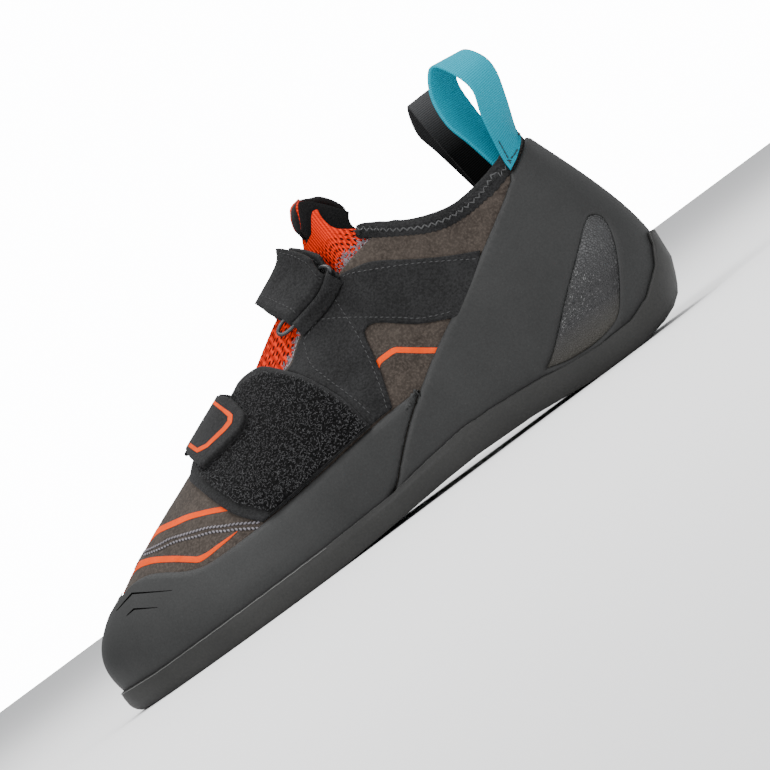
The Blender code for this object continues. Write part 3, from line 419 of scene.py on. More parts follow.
def cut_grid(bm, step_s, step_v, fine=()):
    """Cuts a flat piece into cells, with finer cuts in the ranges given as (axis, low, high, step)."""
    co = np.array([v.co for v in bm.verts])
    for axis, step in ((0, step_s), (1, step_v)):
        low, high = co[:, axis].min(), co[:, axis].max()
        lines = set(np.round(np.arange(math.ceil(low / step), math.floor(high / step) + 1) * step, 4))
        for which, start, end, small in fine:
            if which == axis:
                lines |= set(np.round(np.arange(start, end, small), 4))
        for line in sorted(lines):
            if low < line < high:
                spot, way = [0.0] * 3, [0.0] * 3
                spot[axis], way[axis] = line, 1.0
                geometry = bm.verts[:] + bm.edges[:] + bm.faces[:]
                bmesh.ops.bisect_plane(bm, geom=geometry, dist=1e-4, plane_co=spot, plane_no=way)
    return bm


UPPER_SIDE = 0.4
PATTERN_SCALE = 0.01


def lay(bm, inner, thick, surface=on_last, relief=None):
    """Wraps a flat plate round the last or along a band, and keeps its flat places as a UV map.

    Relief moves only the plate's upper side.
    """
    bm.verts.index_update()
    flat = np.array([v.co for v in bm.verts])
    height = inner + thick * flat[:, 2]
    if relief is not None:
        height = height + relief(flat[:, 0], flat[:, 1]) * (flat[:, 2] > UPPER_SIDE)
    placed = surface(flat[:, 0], flat[:, 1], height)
    uv = bm.loops.layers.uv.new("pattern")
    for face in bm.faces:
        for corner in face.loops:
            k = corner.vert.index
            corner[uv].uv = (flat[k, 0] * PATTERN_SCALE, flat[k, 1] * PATTERN_SCALE)
    for vert, place in zip(bm.verts, placed):
        vert.co = place
    return bm


def face_away(bm, centre_of):
    """Turns the faces of an open sheet so that they point away from the middle of the shoe."""
    bm.normal_update()
    wrong = []
    for face in bm.faces:
        middle = face.calc_center_median()
        if face.normal.dot(middle - centre_of(middle)) < 0:
            wrong.append(face)
    bmesh.ops.reverse_faces(bm, faces=wrong)


def piece(name, bm, material, nodes=(), turn=True):
    """Turns a bmesh into a piece that rides on the shoe."""
    if turn:
        bmesh.ops.recalc_face_normals(bm, faces=bm.faces[:])
    mesh = bpy.data.meshes.new(name)
    bm.to_mesh(mesh)
    bm.free()
    mesh.shade_smooth()
    mesh.materials.append(material)
    obj = bpy.data.objects.new(name, mesh)
    bpy.context.scene.collection.objects.link(obj)
    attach(obj, "root")
    if nodes:
        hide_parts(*nodes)
    return obj


def laid_piece(name, outline, inner, thick, material, nodes=(), holes=(), rim=ROUNDED, wall=0.55,
               cell=(2.0, 2.0), relief=None):
    """Piece cut from a flat outline, cut into cells and laid on the last."""
    bm = cut_grid(plate(outline, holes, rim, wall), *cell)
    return piece(name, lay(bm, inner, thick, relief=relief), material, nodes)


BAND_STEPS = 12


def band_surface(rows):
    """Surface through control rows of 3-D points in metres: its width, length and place function."""
    rows = np.array(rows, float)
    fine = np.array([curve_rows(rows[:, k], BAND_STEPS) for k in range(rows.shape[1])]).transpose(1, 0, 2)
    middle = fine[:, fine.shape[1] // 2]
    gone = np.concatenate(([0.0], np.cumsum(np.linalg.norm(np.diff(middle, axis=0), axis=1)))) / MM
    widths = np.linalg.norm(np.diff(fine, axis=1), axis=2).sum(axis=1)
    wide = float(np.median(widths)) / MM
    normal = np.cross(np.gradient(fine, axis=0), np.gradient(fine, axis=1))
    normal /= np.linalg.norm(normal, axis=2, keepdims=True)
    last_row, last_col = fine.shape[0] - 1, fine.shape[1] - 1

    def surface(x, y, offset):
        i = np.clip(np.interp(y, gone, np.arange(len(gone))), 0, last_row)
        j = np.clip(x / wide, 0, 1) * last_col
        i0 = np.minimum(np.floor(i).astype(int), last_row - 1)
        j0 = np.minimum(np.floor(j).astype(int), last_col - 1)
        a, b = (i - i0)[:, None], (j - j0)[:, None]
        values = []
        for grid in (fine, normal):
            low = grid[i0, j0] * (1 - a) + grid[i0 + 1, j0] * a
            high = grid[i0, j0 + 1] * (1 - a) + grid[i0 + 1, j0 + 1] * a
            values.append(low * (1 - b) + high * b)
        way = values[1] / np.linalg.norm(values[1], axis=1, keepdims=True)
        return values[0] + way * np.asarray(offset)[:, None] * MM

    return wide, float(gone[-1]), surface


def curve_rows(points, per_row):
    """Smooth line through 3-D points with a set number of steps between each two."""
    pts = np.vstack((2 * points[0] - points[1], points, 2 * points[-1] - points[-2]))
    result = []
    for a, b, c, d in zip(pts, pts[1:], pts[2:], pts[3:]):
        result += [through(a, b, c, d, t) for t in np.arange(per_row) / per_row]
    return result + [pts[-2]]


ROW_POINTS = 7


def places_across(left, right, points):
    """Pattern places at even steps from one place to another."""
    shares = np.linspace(0, 1, points)
    return left[0] + (right[0] - left[0]) * shares, left[1] + (right[1] - left[1]) * shares


def row_on_last(left, right, offset, points=ROW_POINTS):
    """Row of 3-D points across a strap that lies on the last."""
    s, v = places_across(left, right, points)
    return on_last(s, v, np.full(points, offset))


def rows_between(pairs, shares):
    """Ends of a strap's rows: from each pair of ends to the next at shares of the way, and the last pair."""
    rows = []
    for (a, b), (c, d) in zip(pairs, pairs[1:]):
        for t in shares:
            rows.append((np.array(a) * (1 - t) + np.array(c) * t, np.array(b) * (1 - t) + np.array(d) * t))
    return rows + [pairs[-1]]


def turn_rows(left, right, low, high, sign, steps=6):
    """Rows of a half-round turn from one layer to the one above, bulging down or up along the shoe."""
    base, top = row_on_last(left, right, low), row_on_last(left, right, high)
    s, v = places_across(left, right, ROW_POINTS)
    way = on_last(s, v + sign) - on_last(s, v)
    normal = normal_at(s, v)
    way -= normal * (way * normal).sum(axis=1, keepdims=True)
    way /= np.linalg.norm(way, axis=1, keepdims=True)
    half = (high - low) / 2 * MM
    middle = (base + top) / 2
    rows = []
    for k in range(1, steps):
        angle = math.pi * k / steps
        rows.append(middle - normal * (half * math.cos(angle)) + way * (half * math.sin(angle)))
    return rows


def rectangle(wide, long):
    """Outline of a band's flat cut."""
    return loop_of(straight([(0, 0), (wide, 0), (wide, long), (0, long), (0, 0)]))


def band(rows, thick, rim=ROUNDED, cell=1.6):
    """Closed strip with its middle on control rows, the width and length of its cut, and its surface."""
    wide, long, surface = band_surface(rows)
    bm = cut_grid(plate(rectangle(wide, long), rim=rim), cell, cell)
    return lay(bm, -thick / 2, thick, surface), (wide, long), surface


def scatter(source, places):
    """One bmesh with a copy of a small mesh at every matrix."""
    bm = bmesh.new()
    for matrix in places:
        source.transform(matrix)
        bm.from_mesh(source)
        source.transform(matrix.inverted())
    bpy.data.meshes.remove(source)
    return bm


THREAD_FLATNESS = 0.8


def bead_mesh(length, radius, around=6):
    """Short rounded thread, along X and a little flatter than round, with fewer rings where it is thin."""
    bm = bmesh.new()
    size = Matrix.Diagonal((length / 2 * MM, radius * MM, radius * THREAD_FLATNESS * MM, 1.0))
    lying = size @ Matrix.Rotation(math.pi / 2, 4, "Y")
    along = 5 if around > 4 else 3
    bmesh.ops.create_uvsphere(bm, u_segments=around, v_segments=along, radius=1.0, matrix=lying)
    mesh = bpy.data.meshes.new("bead")
    bm.to_mesh(mesh)
    bm.free()
    return mesh


def walk(points, every, first=0.5):
    """Places and directions at even steps along a line of 3-D points, in metres."""
    points = np.array(points)
    gone = np.concatenate(([0.0], np.cumsum(np.linalg.norm(np.diff(points, axis=0), axis=1))))
    marks = np.arange(every * first, gone[-1], every)

    def place(distance):
        return np.stack([np.interp(distance, gone, points[:, k]) for k in range(3)], axis=-1)

    way = place(np.minimum(marks + every / 4, gone[-1])) - place(marks - every / 4)
    return place(marks), way / np.linalg.norm(way, axis=1, keepdims=True)


def stand(place, way, normal):
    """Matrix that puts X along a direction and Z along a normal."""
    x = Vector(way).normalized()
    y = Vector(normal).cross(x).normalized()
    z = x.cross(y)
    matrix = Matrix((x, y, z)).transposed().to_4x4()
    matrix.translation = Vector(place)
    return matrix


def stitch_places(flat, offset, every, surface=on_last, lean=0.0, tilt=0.0, first=0.5):
    """Matrices for stitches along a flat line at a height: lean turns each other one back, tilt none."""
    flat = np.array(straight([tuple(q) for q in flat], 0.5))
    low = surface(flat[:, 0], flat[:, 1], np.full(len(flat), offset))
    high = surface(flat[:, 0], flat[:, 1], np.full(len(flat), offset + 1.0))
    places, ways = walk(low, every * MM, first)
    result = []
    for k, (place, way) in enumerate(zip(places, ways)):
        nearest = np.argmin(np.linalg.norm(low - place, axis=1))
        up = high[nearest] - low[nearest]
        up /= np.linalg.norm(up)
        side = np.cross(up, way)
        way = way + side * ((lean if k % 2 else -lean) + tilt)
        result.append(stand(place, way, up))
    return result


def tube_piece(name, points, radius, material, nodes=(), closed=False):
    """Round wire or thread along 3-D points, as a curve."""
    data = bpy.data.curves.new(name, "CURVE")
    data.dimensions = "3D"
    data.bevel_depth = radius * MM
    data.bevel_resolution = 3
    data.use_fill_caps = True
    spline = data.splines.new("POLY")
    spline.points.add(len(points) - 1)
    for spot, place in zip(spline.points, points):
        spot.co = (*place, 1.0)
    spline.use_cyclic_u = closed
    data.materials.append(material)
    obj = bpy.data.objects.new(name, data)
    bpy.context.scene.collection.objects.link(obj)
    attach(obj, "root")
    if nodes:
        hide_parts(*nodes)
    return obj


# Material groups.

def new_group(name, inputs, outputs):
    """Empty shader node group with named sockets."""
    tree = bpy.data.node_groups.new(name, "ShaderNodeTree")
    for label, kind, value in inputs:
        socket = tree.interface.new_socket(name=label, in_out="INPUT", socket_type=kind)
        if value is not None:
            socket.default_value = value
    for label, kind in outputs:
        tree.interface.new_socket(name=label, in_out="OUTPUT", socket_type=kind)
    return tree, tree.nodes.new("NodeGroupInput"), tree.nodes.new("NodeGroupOutput")


def node(tree, kind, links=None, **settings):
    """Shader node with its settings, and its inputs set or linked by name or number."""
    made = tree.nodes.new(kind)
    for key, value in settings.items():
        setattr(made, key, value)
    for key, value in (links or {}).items():
        if isinstance(value, bpy.types.NodeSocket):
            tree.links.new(value, made.inputs[key])
        else:
            made.inputs[key].default_value = value
    return made


def math_node(tree, operation, a, b=0.0, clamp=False):
    return node(tree, "ShaderNodeMath", {0: a, 1: b}, operation=operation, use_clamp=clamp).outputs[0]


def ramp(tree, value, low, high):
    """Value stretched so that low gives 0 and high gives 1, clamped."""
    made = node(tree, "ShaderNodeMapRange", {"Value": value, "From Min": low, "From Max": high})
    return made.outputs["Result"]


def mixed(tree, share, a, b):
    """Colour between two colours."""
    made = node(tree, "ShaderNodeMix", data_type="RGBA")
    for index, value in ((0, share), (6, a), (7, b)):
        if isinstance(value, bpy.types.NodeSocket):
            tree.links.new(value, made.inputs[index])
        else:
            made.inputs[index].default_value = value
    return made.outputs[2]


F, V = "NodeSocketFloat", "NodeSocketVector"
PER_METRE = 1000.0


def make_grain_group():
    """Fine even grain with broader cloudy change: for leather, rubber and nap."""
    inputs = [("Vector", V, None), ("Grain Size", F, 1.0), ("Cloud Size", F, 20.0)]
    tree, put, out = new_group("fine_grain", inputs, [("Grain", F), ("Cloud", F)])
    where = put.outputs["Vector"]
    grain_scale = math_node(tree, "DIVIDE", PER_METRE, put.outputs["Grain Size"])
    cloud_scale = math_node(tree, "DIVIDE", PER_METRE, put.outputs["Cloud Size"])
    grain = node(tree, "ShaderNodeTexNoise",
                 {"Vector": where, "Scale": grain_scale, "Detail": 4.0, "Roughness": 0.6})
    cloud = node(tree, "ShaderNodeTexNoise",
                 {"Vector": where, "Scale": cloud_scale, "Detail": 3.0, "Roughness": 0.55})
    tree.links.new(grain.outputs["Fac"], out.inputs["Grain"])
    tree.links.new(cloud.outputs["Fac"], out.inputs["Cloud"])
    return tree


def make_speck_group():
    """Scattered small specks and short scuffs, as a mask."""
    inputs = [("Vector", V, None), ("Size", F, 1.0), ("Amount", F, 0.2)]
    tree, put, out = new_group("specks", inputs, [("Mask", F)])
    scale = math_node(tree, "DIVIDE", PER_METRE, put.outputs["Size"])
    cells = node(tree, "ShaderNodeTexVoronoi", {"Vector": put.outputs["Vector"], "Scale": scale})
    spread = node(tree, "ShaderNodeTexNoise", {"Vector": put.outputs["Vector"], "Scale": 60.0, "Detail": 2.0})
    limit = math_node(tree, "MULTIPLY", spread.outputs["Fac"], put.outputs["Amount"])
    less = math_node(tree, "SUBTRACT", limit, cells.outputs["Distance"])
    mask = math_node(tree, "MULTIPLY", less, 12.0, clamp=True)
    tree.links.new(mask, out.inputs["Mask"])
    return tree


def make_rib_group():
    """Parallel ribs or threads across one direction of a flat pattern: height 0 to 1."""
    tree, put, out = new_group("ribs", [("Along", F, 0.0), ("Pitch", F, 1.0), ("Depth Curve", F, 1.0)],
                               [("Height", F)])
    turns = math_node(tree, "DIVIDE", put.outputs["Along"], put.outputs["Pitch"])
    angle = math_node(tree, "MULTIPLY", turns, 2 * math.pi)
    wave = math_node(tree, "ADD", math_node(tree, "MULTIPLY", math_node(tree, "SINE", angle), 0.5), 0.5)
    height = math_node(tree, "POWER", wave, put.outputs["Depth Curve"])
    tree.links.new(height, out.inputs["Height"])
    return tree


GRAIN = make_grain_group()
SPECKS = make_speck_group()
RIBS = make_rib_group()


def group(tree, source, **values):
    """A group placed in a material with its own values or links."""
    made = tree.nodes.new("ShaderNodeGroup")
    made.node_tree = source
    for key, value in values.items():
        key = key.replace("_", " ")
        if isinstance(value, bpy.types.NodeSocket):
            tree.links.new(value, made.inputs[key])
        else:
            made.inputs[key].default_value = value
    return made


def start_material(name, color, rough, **sockets):
    """Material with a Principled shader whose plain values sit on its own sockets."""
    material = bpy.data.materials.new(name)
    material.use_nodes = True
    tree = material.node_tree
    shader = tree.nodes["Principled BSDF"]
    shader.inputs["Base Color"].default_value = (*color, 1.0)
    shader.inputs["Roughness"].default_value = rough
    for key, value in sockets.items():
        shader.inputs[key.replace("_", " ")].default_value = value
    material.diffuse_color = (*color, 1.0)
    return material, tree, shader


def bump(tree, shader, height, strength, distance, before=None):
    """Bump in metres under the shader's normal; gives the normal, so that another may sit on it."""
    links = {"Height": height, "Strength": strength, "Distance": distance}
    if before is not None:
        links["Normal"] = before
    made = node(tree, "ShaderNodeBump", links)
    tree.links.new(made.outputs["Normal"], shader.inputs["Normal"])
    return made.outputs["Normal"]


def place_of(tree):
    return node(tree, "ShaderNodeTexCoord").outputs["Object"]


def pattern_of(tree):
    """The piece's flat pattern, in millimetres, as two numbers."""
    flat = node(tree, "ShaderNodeUVMap", uv_map="pattern").outputs["UV"]
    parts = node(tree, "ShaderNodeSeparateXYZ", {0: flat})
    return [math_node(tree, "MULTIPLY", parts.outputs[k], 1 / PATTERN_SCALE) for k in range(2)]


def blend(tree, a, a_share, b, b_share):
    """Sum of two values, each times its share."""
    return math_node(tree, "ADD", math_node(tree, "MULTIPLY", a, a_share),
                     math_node(tree, "MULTIPLY", b, b_share))


def use_color(tree, shader, color):
    """Colour that changes over the surface, linked to the shader."""
    tree.links.new(color, shader.inputs["Base Color"])


def suede_material():
    """Brown suede: a short nap with lighter flecks."""
    material, tree, shader = start_material("suede", (0.035, 0.03, 0.026), 0.92, Sheen_Weight=0.04,
                                            Sheen_Roughness=0.5, Specular_IOR_Level=0.1)
    where = place_of(tree)
    nap = group(tree, GRAIN, Vector=where, Grain_Size=0.9, Cloud_Size=26.0)
    fibre = group(tree, GRAIN, Vector=where, Grain_Size=2.6, Cloud_Size=7.0)
    dark, light = (0.0155, 0.0123, 0.0102, 1), (0.056, 0.0455, 0.0382, 1)
    tone = blend(tree, nap.outputs["Cloud"], 0.55, fibre.outputs["Grain"], 0.45)
    tone = ramp(tree, tone, 0.3, 0.72)
    color = mixed(tree, tone, dark, light)
    fleck = ramp(tree, nap.outputs["Grain"], 0.45, 0.65)
    color = mixed(tree, math_node(tree, "MULTIPLY", fleck, 0.45), color, (0.085, 0.069, 0.058, 1))
    use_color(tree, shader, color)
    coarse = math_node(tree, "MULTIPLY", fibre.outputs["Grain"], 0.8)
    bump(tree, shader, math_node(tree, "ADD", nap.outputs["Grain"], coarse), 0.55, 0.0004)
    return material


def rubber_material(name, color, light, rough):
    """Rubber with soft clouds of tone, a fine grain and a little dust."""
    material, tree, shader = start_material(name, color, rough, Specular_IOR_Level=0.35)
    where = place_of(tree)
    fine = group(tree, GRAIN, Vector=where, Grain_Size=0.8, Cloud_Size=34.0)
    broad = group(tree, GRAIN, Vector=where, Grain_Size=3.5, Cloud_Size=60.0)
    specks = group(tree, SPECKS, Vector=where, Size=2.2, Amount=0.22)
    tone = blend(tree, fine.outputs["Cloud"], 0.5, fine.outputs["Grain"], 0.5)
    tone = ramp(tree, tone, 0.38, 0.62)
    made = mixed(tree, tone, (*color, 1), (*light, 1))
    dust = math_node(tree, "MULTIPLY", specks.outputs["Mask"], 0.12)
    use_color(tree, shader, mixed(tree, dust, made, (0.06, 0.06, 0.058, 1)))
    shine = math_node(tree, "ADD", math_node(tree, "MULTIPLY", broad.outputs["Cloud"], 0.22), rough - 0.1)
    tree.links.new(shine, shader.inputs["Roughness"])
    low = math_node(tree, "MULTIPLY", fine.outputs["Grain"], 0.5)
    bump(tree, shader, math_node(tree, "ADD", low, broad.outputs["Grain"]), 0.3, 0.0003)
    return material


def microfibre_material(name="microfibre", color=(0.0012, 0.0012, 0.0013), light=(0.0135, 0.0136, 0.014)):
    """Matt brushed cloth with a fine grain."""
    material, tree, shader = start_material(name, color, 0.82, Sheen_Weight=0.04, Sheen_Roughness=0.4,
                                            Specular_IOR_Level=0.22)
    where = place_of(tree)
    grain = group(tree, GRAIN, Vector=where, Grain_Size=0.8, Cloud_Size=22.0)
    tone = ramp(tree, blend(tree, grain.outputs["Cloud"], 0.35, grain.outputs["Grain"], 0.65), 0.4, 0.6)
    use_color(tree, shader, mixed(tree, tone, (*color, 1), (*light, 1)))
    bump(tree, shader, grain.outputs["Grain"], 0.7, 0.0006)
    return material


def plain_material(name, color, rough, **sockets):
    """Thread, wire or print with a little change of tone."""
    material, tree, shader = start_material(name, color, rough, **sockets)
    grain = group(tree, GRAIN, Vector=place_of(tree), Grain_Size=0.6, Cloud_Size=9.0)
    darker = tuple(c * 0.72 for c in color)
    tone = ramp(tree, grain.outputs["Cloud"], 0.35, 0.65)
    use_color(tree, shader, mixed(tree, tone, (*darker, 1), (*color, 1)))
    bump(tree, shader, grain.outputs["Grain"], 0.25, 0.0002)
    return material


def pile_material():
    """Dark curled pile of the closures."""
    material, tree, shader = start_material("pile", (0.004, 0.004, 0.0045), 0.95, Sheen_Weight=0.06,
                                            Sheen_Roughness=0.5, Specular_IOR_Level=0.04)
    where = place_of(tree)
    curls = group(tree, GRAIN, Vector=where, Grain_Size=0.7, Cloud_Size=3.0)
    tone = ramp(tree, curls.outputs["Grain"], 0.45, 0.72)
    use_color(tree, shader, mixed(tree, tone, (0.0003, 0.0003, 0.0003, 1), (0.0085, 0.0085, 0.009, 1)))
    bump(tree, shader, curls.outputs["Grain"], 0.9, 0.0007)
    return material


def knit_material():
    """Ribbed knit with rows of small holes below the tongue's top, and painted shade in the grooves between its
    ribs.
    """
    material, tree, shader = start_material("knit", (0.4, 0.02, 0.0), 0.85, Specular_IOR_Level=0.08)
    hole_step = 2.4
    s, v = pattern_of(tree)
    ribs = group(tree, RIBS, Along=s, Pitch=1.5, Depth_Curve=1.2)
    cross = group(tree, RIBS, Along=v, Pitch=0.9, Depth_Curve=1.0)
    row = math_node(tree, "FLOOR", math_node(tree, "DIVIDE", v, hole_step))
    odd = math_node(tree, "MULTIPLY", math_node(tree, "MODULO", row, 2.0), hole_step / 2)
    turned = math_node(tree, "WRAP", math_node(tree, "ADD", s, odd), hole_step)
    cell_s = math_node(tree, "SUBTRACT", turned, hole_step / 2)
    cell_v = math_node(tree, "SUBTRACT", math_node(tree, "WRAP", v, hole_step), hole_step / 2)
    away = math_node(tree, "SQRT", math_node(tree, "ADD", math_node(tree, "MULTIPLY", cell_s, cell_s),
                                             math_node(tree, "MULTIPLY", cell_v, cell_v)))
    hole = math_node(tree, "SUBTRACT", 1.0, ramp(tree, away, 0.38, 0.62))
    parts = node(tree, "ShaderNodeSeparateXYZ", {0: place_of(tree)})
    open_share = math_node(tree, "SUBTRACT", 1.0, ramp(tree, parts.outputs[2], 0.0985, 0.1025))
    hole = math_node(tree, "MULTIPLY", hole, open_share)
    grain = group(tree, GRAIN, Vector=place_of(tree), Grain_Size=0.7, Cloud_Size=12.0)
    # Painted shade: the colour darkens in the grooves between the ribs, with random grain on top.
    tone = blend(tree, ribs.outputs["Height"], 0.6, grain.outputs["Grain"], 0.5)
    color = mixed(tree, ramp(tree, tone, 0.1, 0.9), (0.22, 0.004, 0.0, 1), (0.76, 0.026, 0.0, 1))
    color = mixed(tree, hole, color, (0.012, 0.002, 0.0015, 1))
    use_color(tree, shader, color)
    height = blend(tree, ribs.outputs["Height"], 0.7, cross.outputs["Height"], 0.3)
    height = math_node(tree, "SUBTRACT", height, hole)
    bump(tree, shader, height, 0.8, 0.0004)
    return material


def webbing_material(name, low, high, top_z, low_z):
    """Ribbed webbing with painted light and shade: lighter towards the top, darker lower down, and painted shade in
    the grooves between its ribs.
    """
    material, tree, shader = start_material(name, high, 0.7, Sheen_Weight=0.0, Sheen_Roughness=0.35,
                                            Specular_IOR_Level=0.1)
    across, along = pattern_of(tree)
    ribs = group(tree, RIBS, Along=along, Pitch=0.8, Depth_Curve=0.8)
    threads = group(tree, RIBS, Along=across, Pitch=0.55, Depth_Curve=1.0)
    parts = node(tree, "ShaderNodeSeparateXYZ", {0: place_of(tree)})
    # Painted light and shade: the low colour lower down, the high colour towards the top.
    share = ramp(tree, parts.outputs[2], low_z * MM, top_z * MM)
    color = mixed(tree, share, (*low, 1), (*high, 1))
    # Painted shade in the grooves between the ribs.
    groove_shade = math_node(tree, "MULTIPLY", math_node(tree, "SUBTRACT", 1.0, ribs.outputs["Height"]), 0.42)
    color = mixed(tree, groove_shade, color, tuple(c * 0.3 for c in low) + (1,))
    use_color(tree, shader, color)
    fine = math_node(tree, "MULTIPLY", threads.outputs["Height"], 0.3)
    bump(tree, shader, math_node(tree, "ADD", ribs.outputs["Height"], fine), 0.45, 0.00025)
    return material


def inlay_material():
    """Grained glossy panel: a painted pale highlight high up on the grain, dusty near the sole."""
    material, tree, shader = start_material("grained_inlay", (0.02, 0.02, 0.021), 0.3, Coat_Weight=0.06,
                                            Coat_Roughness=0.3, Specular_IOR_Level=0.4)
    where = place_of(tree)
    cells = node(tree, "ShaderNodeTexVoronoi", {"Vector": where, "Scale": 1050.0}, feature="DISTANCE_TO_EDGE")
    height = ramp(tree, cells.outputs["Distance"], 0.0, 0.22)
    parts = node(tree, "ShaderNodeSeparateXYZ", {0: where})
    warm = math_node(tree, "SUBTRACT", 1.0, ramp(tree, parts.outputs[2], 0.013, 0.022))
    color = mixed(tree, height, (0.0015, 0.0015, 0.0017, 1), (0.007, 0.007, 0.0075, 1))
    # Painted highlight: the grain tops turn pale towards the top of the panel.
    painted_highlight = math_node(tree, "MULTIPLY", ramp(tree, parts.outputs[2], 0.028, 0.042), height)
    color = mixed(tree, math_node(tree, "MULTIPLY", painted_highlight, 0.8), color, (0.046, 0.047, 0.048, 1))
    color = mixed(tree, math_node(tree, "MULTIPLY", warm, 0.8), color, (0.034, 0.031, 0.025, 1))
    use_color(tree, shader, color)
    shine = math_node(tree, "ADD", math_node(tree, "MULTIPLY", warm, 0.4), 0.28)
    tree.links.new(shine, shader.inputs["Roughness"])
    bump(tree, shader, height, 0.6, 0.0003)
    return material


SUEDE = suede_material()
RAND = rubber_material("rand_rubber", (0.0072, 0.0075, 0.0074), (0.0132, 0.0136, 0.0134), 0.64)
SOLE = rubber_material("sole_rubber", (0.0078, 0.0078, 0.0072), (0.014, 0.0139, 0.013), 0.62)
MICRO = microfibre_material()
LINING = microfibre_material("lining", (0.004, 0.004, 0.0043), (0.0095, 0.0093, 0.0095))
PILE_MAT = pile_material()
KNIT = knit_material()
# The low colour of each webbing is painted shade lower down, and its high colour painted light towards the top.
BLUE = webbing_material("blue_web", (0.0, 0.2, 0.28), (0.0, 0.3, 0.41), 122, 92)
GREY = webbing_material("grey_web", (0.0012, 0.0012, 0.0014), (0.038, 0.0385, 0.04), 121, 100)
INLAY_MAT = inlay_material()
WIRE = plain_material("ring_wire", (0.035, 0.036, 0.038), 0.35, Metallic=0.4)
THREAD = plain_material("black_thread", (0.003, 0.003, 0.0032), 0.7)
# Dark thread of the overlay seams, lightened to grey to stand for its glints: painted highlight.
OVERLAY_THREAD_GLINT = plain_material("overlay_thread_painted_glint", (0.026, 0.026, 0.027), 0.6)
PRINT = plain_material("orange_print", (0.7, 0.058, 0.0), 0.65, Specular_IOR_Level=0.08)
# The zigzag's dark thread is lightened to mid grey to stand for its glints: painted highlight.
COLLAR_THREAD_GLINT = plain_material("collar_thread_painted_glint", (0.034, 0.034, 0.035), 0.55)
# Black strap thread lightened a little to stand for its faint glints: painted highlight.
STRAP_THREAD_GLINT = plain_material("strap_thread_painted_glint", (0.012, 0.012, 0.0125), 0.6)
# Near-black strips of painted shade that stand for the toe rand's pressed grooves.
GROOVE_PAINTED_SHADE = plain_material("groove_painted_shade", (0.0008, 0.0008, 0.0008), 0.95, Specular_IOR_Level=0.0)
# Pile loops coloured much lighter than the pile: painted glints on the curled loops.
PILE_LOOP_GLINT = plain_material("pile_loop_painted_glint", (0.034, 0.034, 0.036), 0.6)
LILAC_THREAD = plain_material("lilac_thread", (0.17, 0.155, 0.175), 0.8)
WHITE_THREAD = plain_material("white_thread", (0.42, 0.41, 0.41), 0.8)
KNIT_EDGE = plain_material("knit_edge", (0.75, 0.035, 0.0), 0.8)
# Light grey of the tube along the sole's rim: partly painted edge highlight, partly glue.
RIM_HIGHLIGHT_GLUE = plain_material("sole_rim_highlight_glue", (0.085, 0.085, 0.082), 0.5)


# Upper, rands and sole.

TOE_RAND_TOP = [(28, 41.2), (33, 42.0), (39, 41.0), (45, 38.0), (52, 33.8), (60, 31.3), (72, 30.8),
                (85, 31.0), (102, 32.0), (120, 33.5), (138, 35.2), (150, 36.0), (161.5, 36.2)]
HEEL_RAND_FRONT = [(132, 11.0), (136, 14.0), (140, 18.0), (150, 27.0), (162, 36.0)]
HEEL_RAND_TOP = [(162, 36), (175, 44), (190, 52), (210, 63), (225, 71.6), (235, 78.0)]
LEAF = [(204, 14.0), (210, 18.0), (225, 31.0), (240, 43.0), (248, 49.2), (252, 50.2), (255, 47.0),
        (254, 40.0), (250, 31.5), (243, 21.0), (236, 13.5), (225, 11.0), (213, 11.6)]
THROAT = [(106, 76.3), (114, 74.5), (122, 71.5), (129, 72.5), (137, 78.0), (150, 84.0), (160, 87.4),
          (168, 89.6), (175.8, 91.2), (181.6, 91.7)]
THROAT_FRONT = 105
SUEDE_COLLAR = [(181.8, 90.6), (188.1, 86.6), (196.2, 81.6), (203, 78.6), (209, 77.3), (217, 77.1),
                (224, 77.9)]
COLLAR_LOW = [(176.4, 95.6), (182.0, 91.2), (188.1, 87.1), (196.2, 82.0), (203, 78.9), (209, 77.6),
              (217, 77.3), (224, 78.0)]
COLLAR_TOP = [(179.0, 98.9), (181.6, 98.2), (186, 95.4)]


def height_place(s, z, offset=0.0):
    """Pattern row where a column of the near side passes a height."""
    rows = np.linspace(0, V_TOP, 151)
    heights = on_last(np.full(len(rows), s), rows, np.full(len(rows), offset))[:, 2] / MM
    return float(np.interp(z, heights, rows))


def collar_low(s, gap):
    """Pattern row of the binding's lower edge, a gap further down."""
    top = float(on_last(s, V_TOP)[2]) / MM
    return height_place(s, top - BINDING_TALL - gap)


def collar_edge(gap, line=COLLAR_LOW):
    """Lower edge of the collar binding from the throat round to the middle of the heel."""
    front = drawn(line, shift=(0.0, -gap))
    start = front[-1][0] + FOOT_STEP
    return front + [(s, collar_low(s, gap)) for s in np.linspace(start, S_END, 34)]


def foot_line(start, end):
    """Pattern places along the near side's foot line, both ends included."""
    return [(s, 0.0) for s in np.arange(start, end, FOOT_STEP)] + [(end, 0.0)]


def build_upper():
    """Suede upper, open at throat, collar and foot, with its lining on the inner face."""
    near_top = collar_edge(-1.2, SUEDE_COLLAR)[::-1] + drawn(THROAT)[:0:-1]
    foot = foot_line(0, S_END)
    outline = loop_of(foot, near_top, [crown_place(THROAT_FRONT)], over_ridge(near_top[::-1]),
                      over_ridge(foot[::-1]))
    bm = cut_grid(flat_sheet(outline), 2.0, V_TOP / 40)
    lay(bm, 0.0, 0.0)
    bmesh.ops.remove_doubles(bm, verts=bm.verts[:], dist=5e-5)
    face_away(bm, lambda p: Vector((min(max(p.x, -0.195), 0.005), 0.004, 0.02)))
    obj = piece("suede_upper", bm, SUEDE, ["upper"], turn=False)
    obj.data.materials.append(LINING)
    wall = obj.modifiers.new("wall", "SOLIDIFY")
    wall.thickness = WALL * MM
    wall.offset = -1.0
    wall.material_offset = 1
    wall.use_rim = True
    return obj


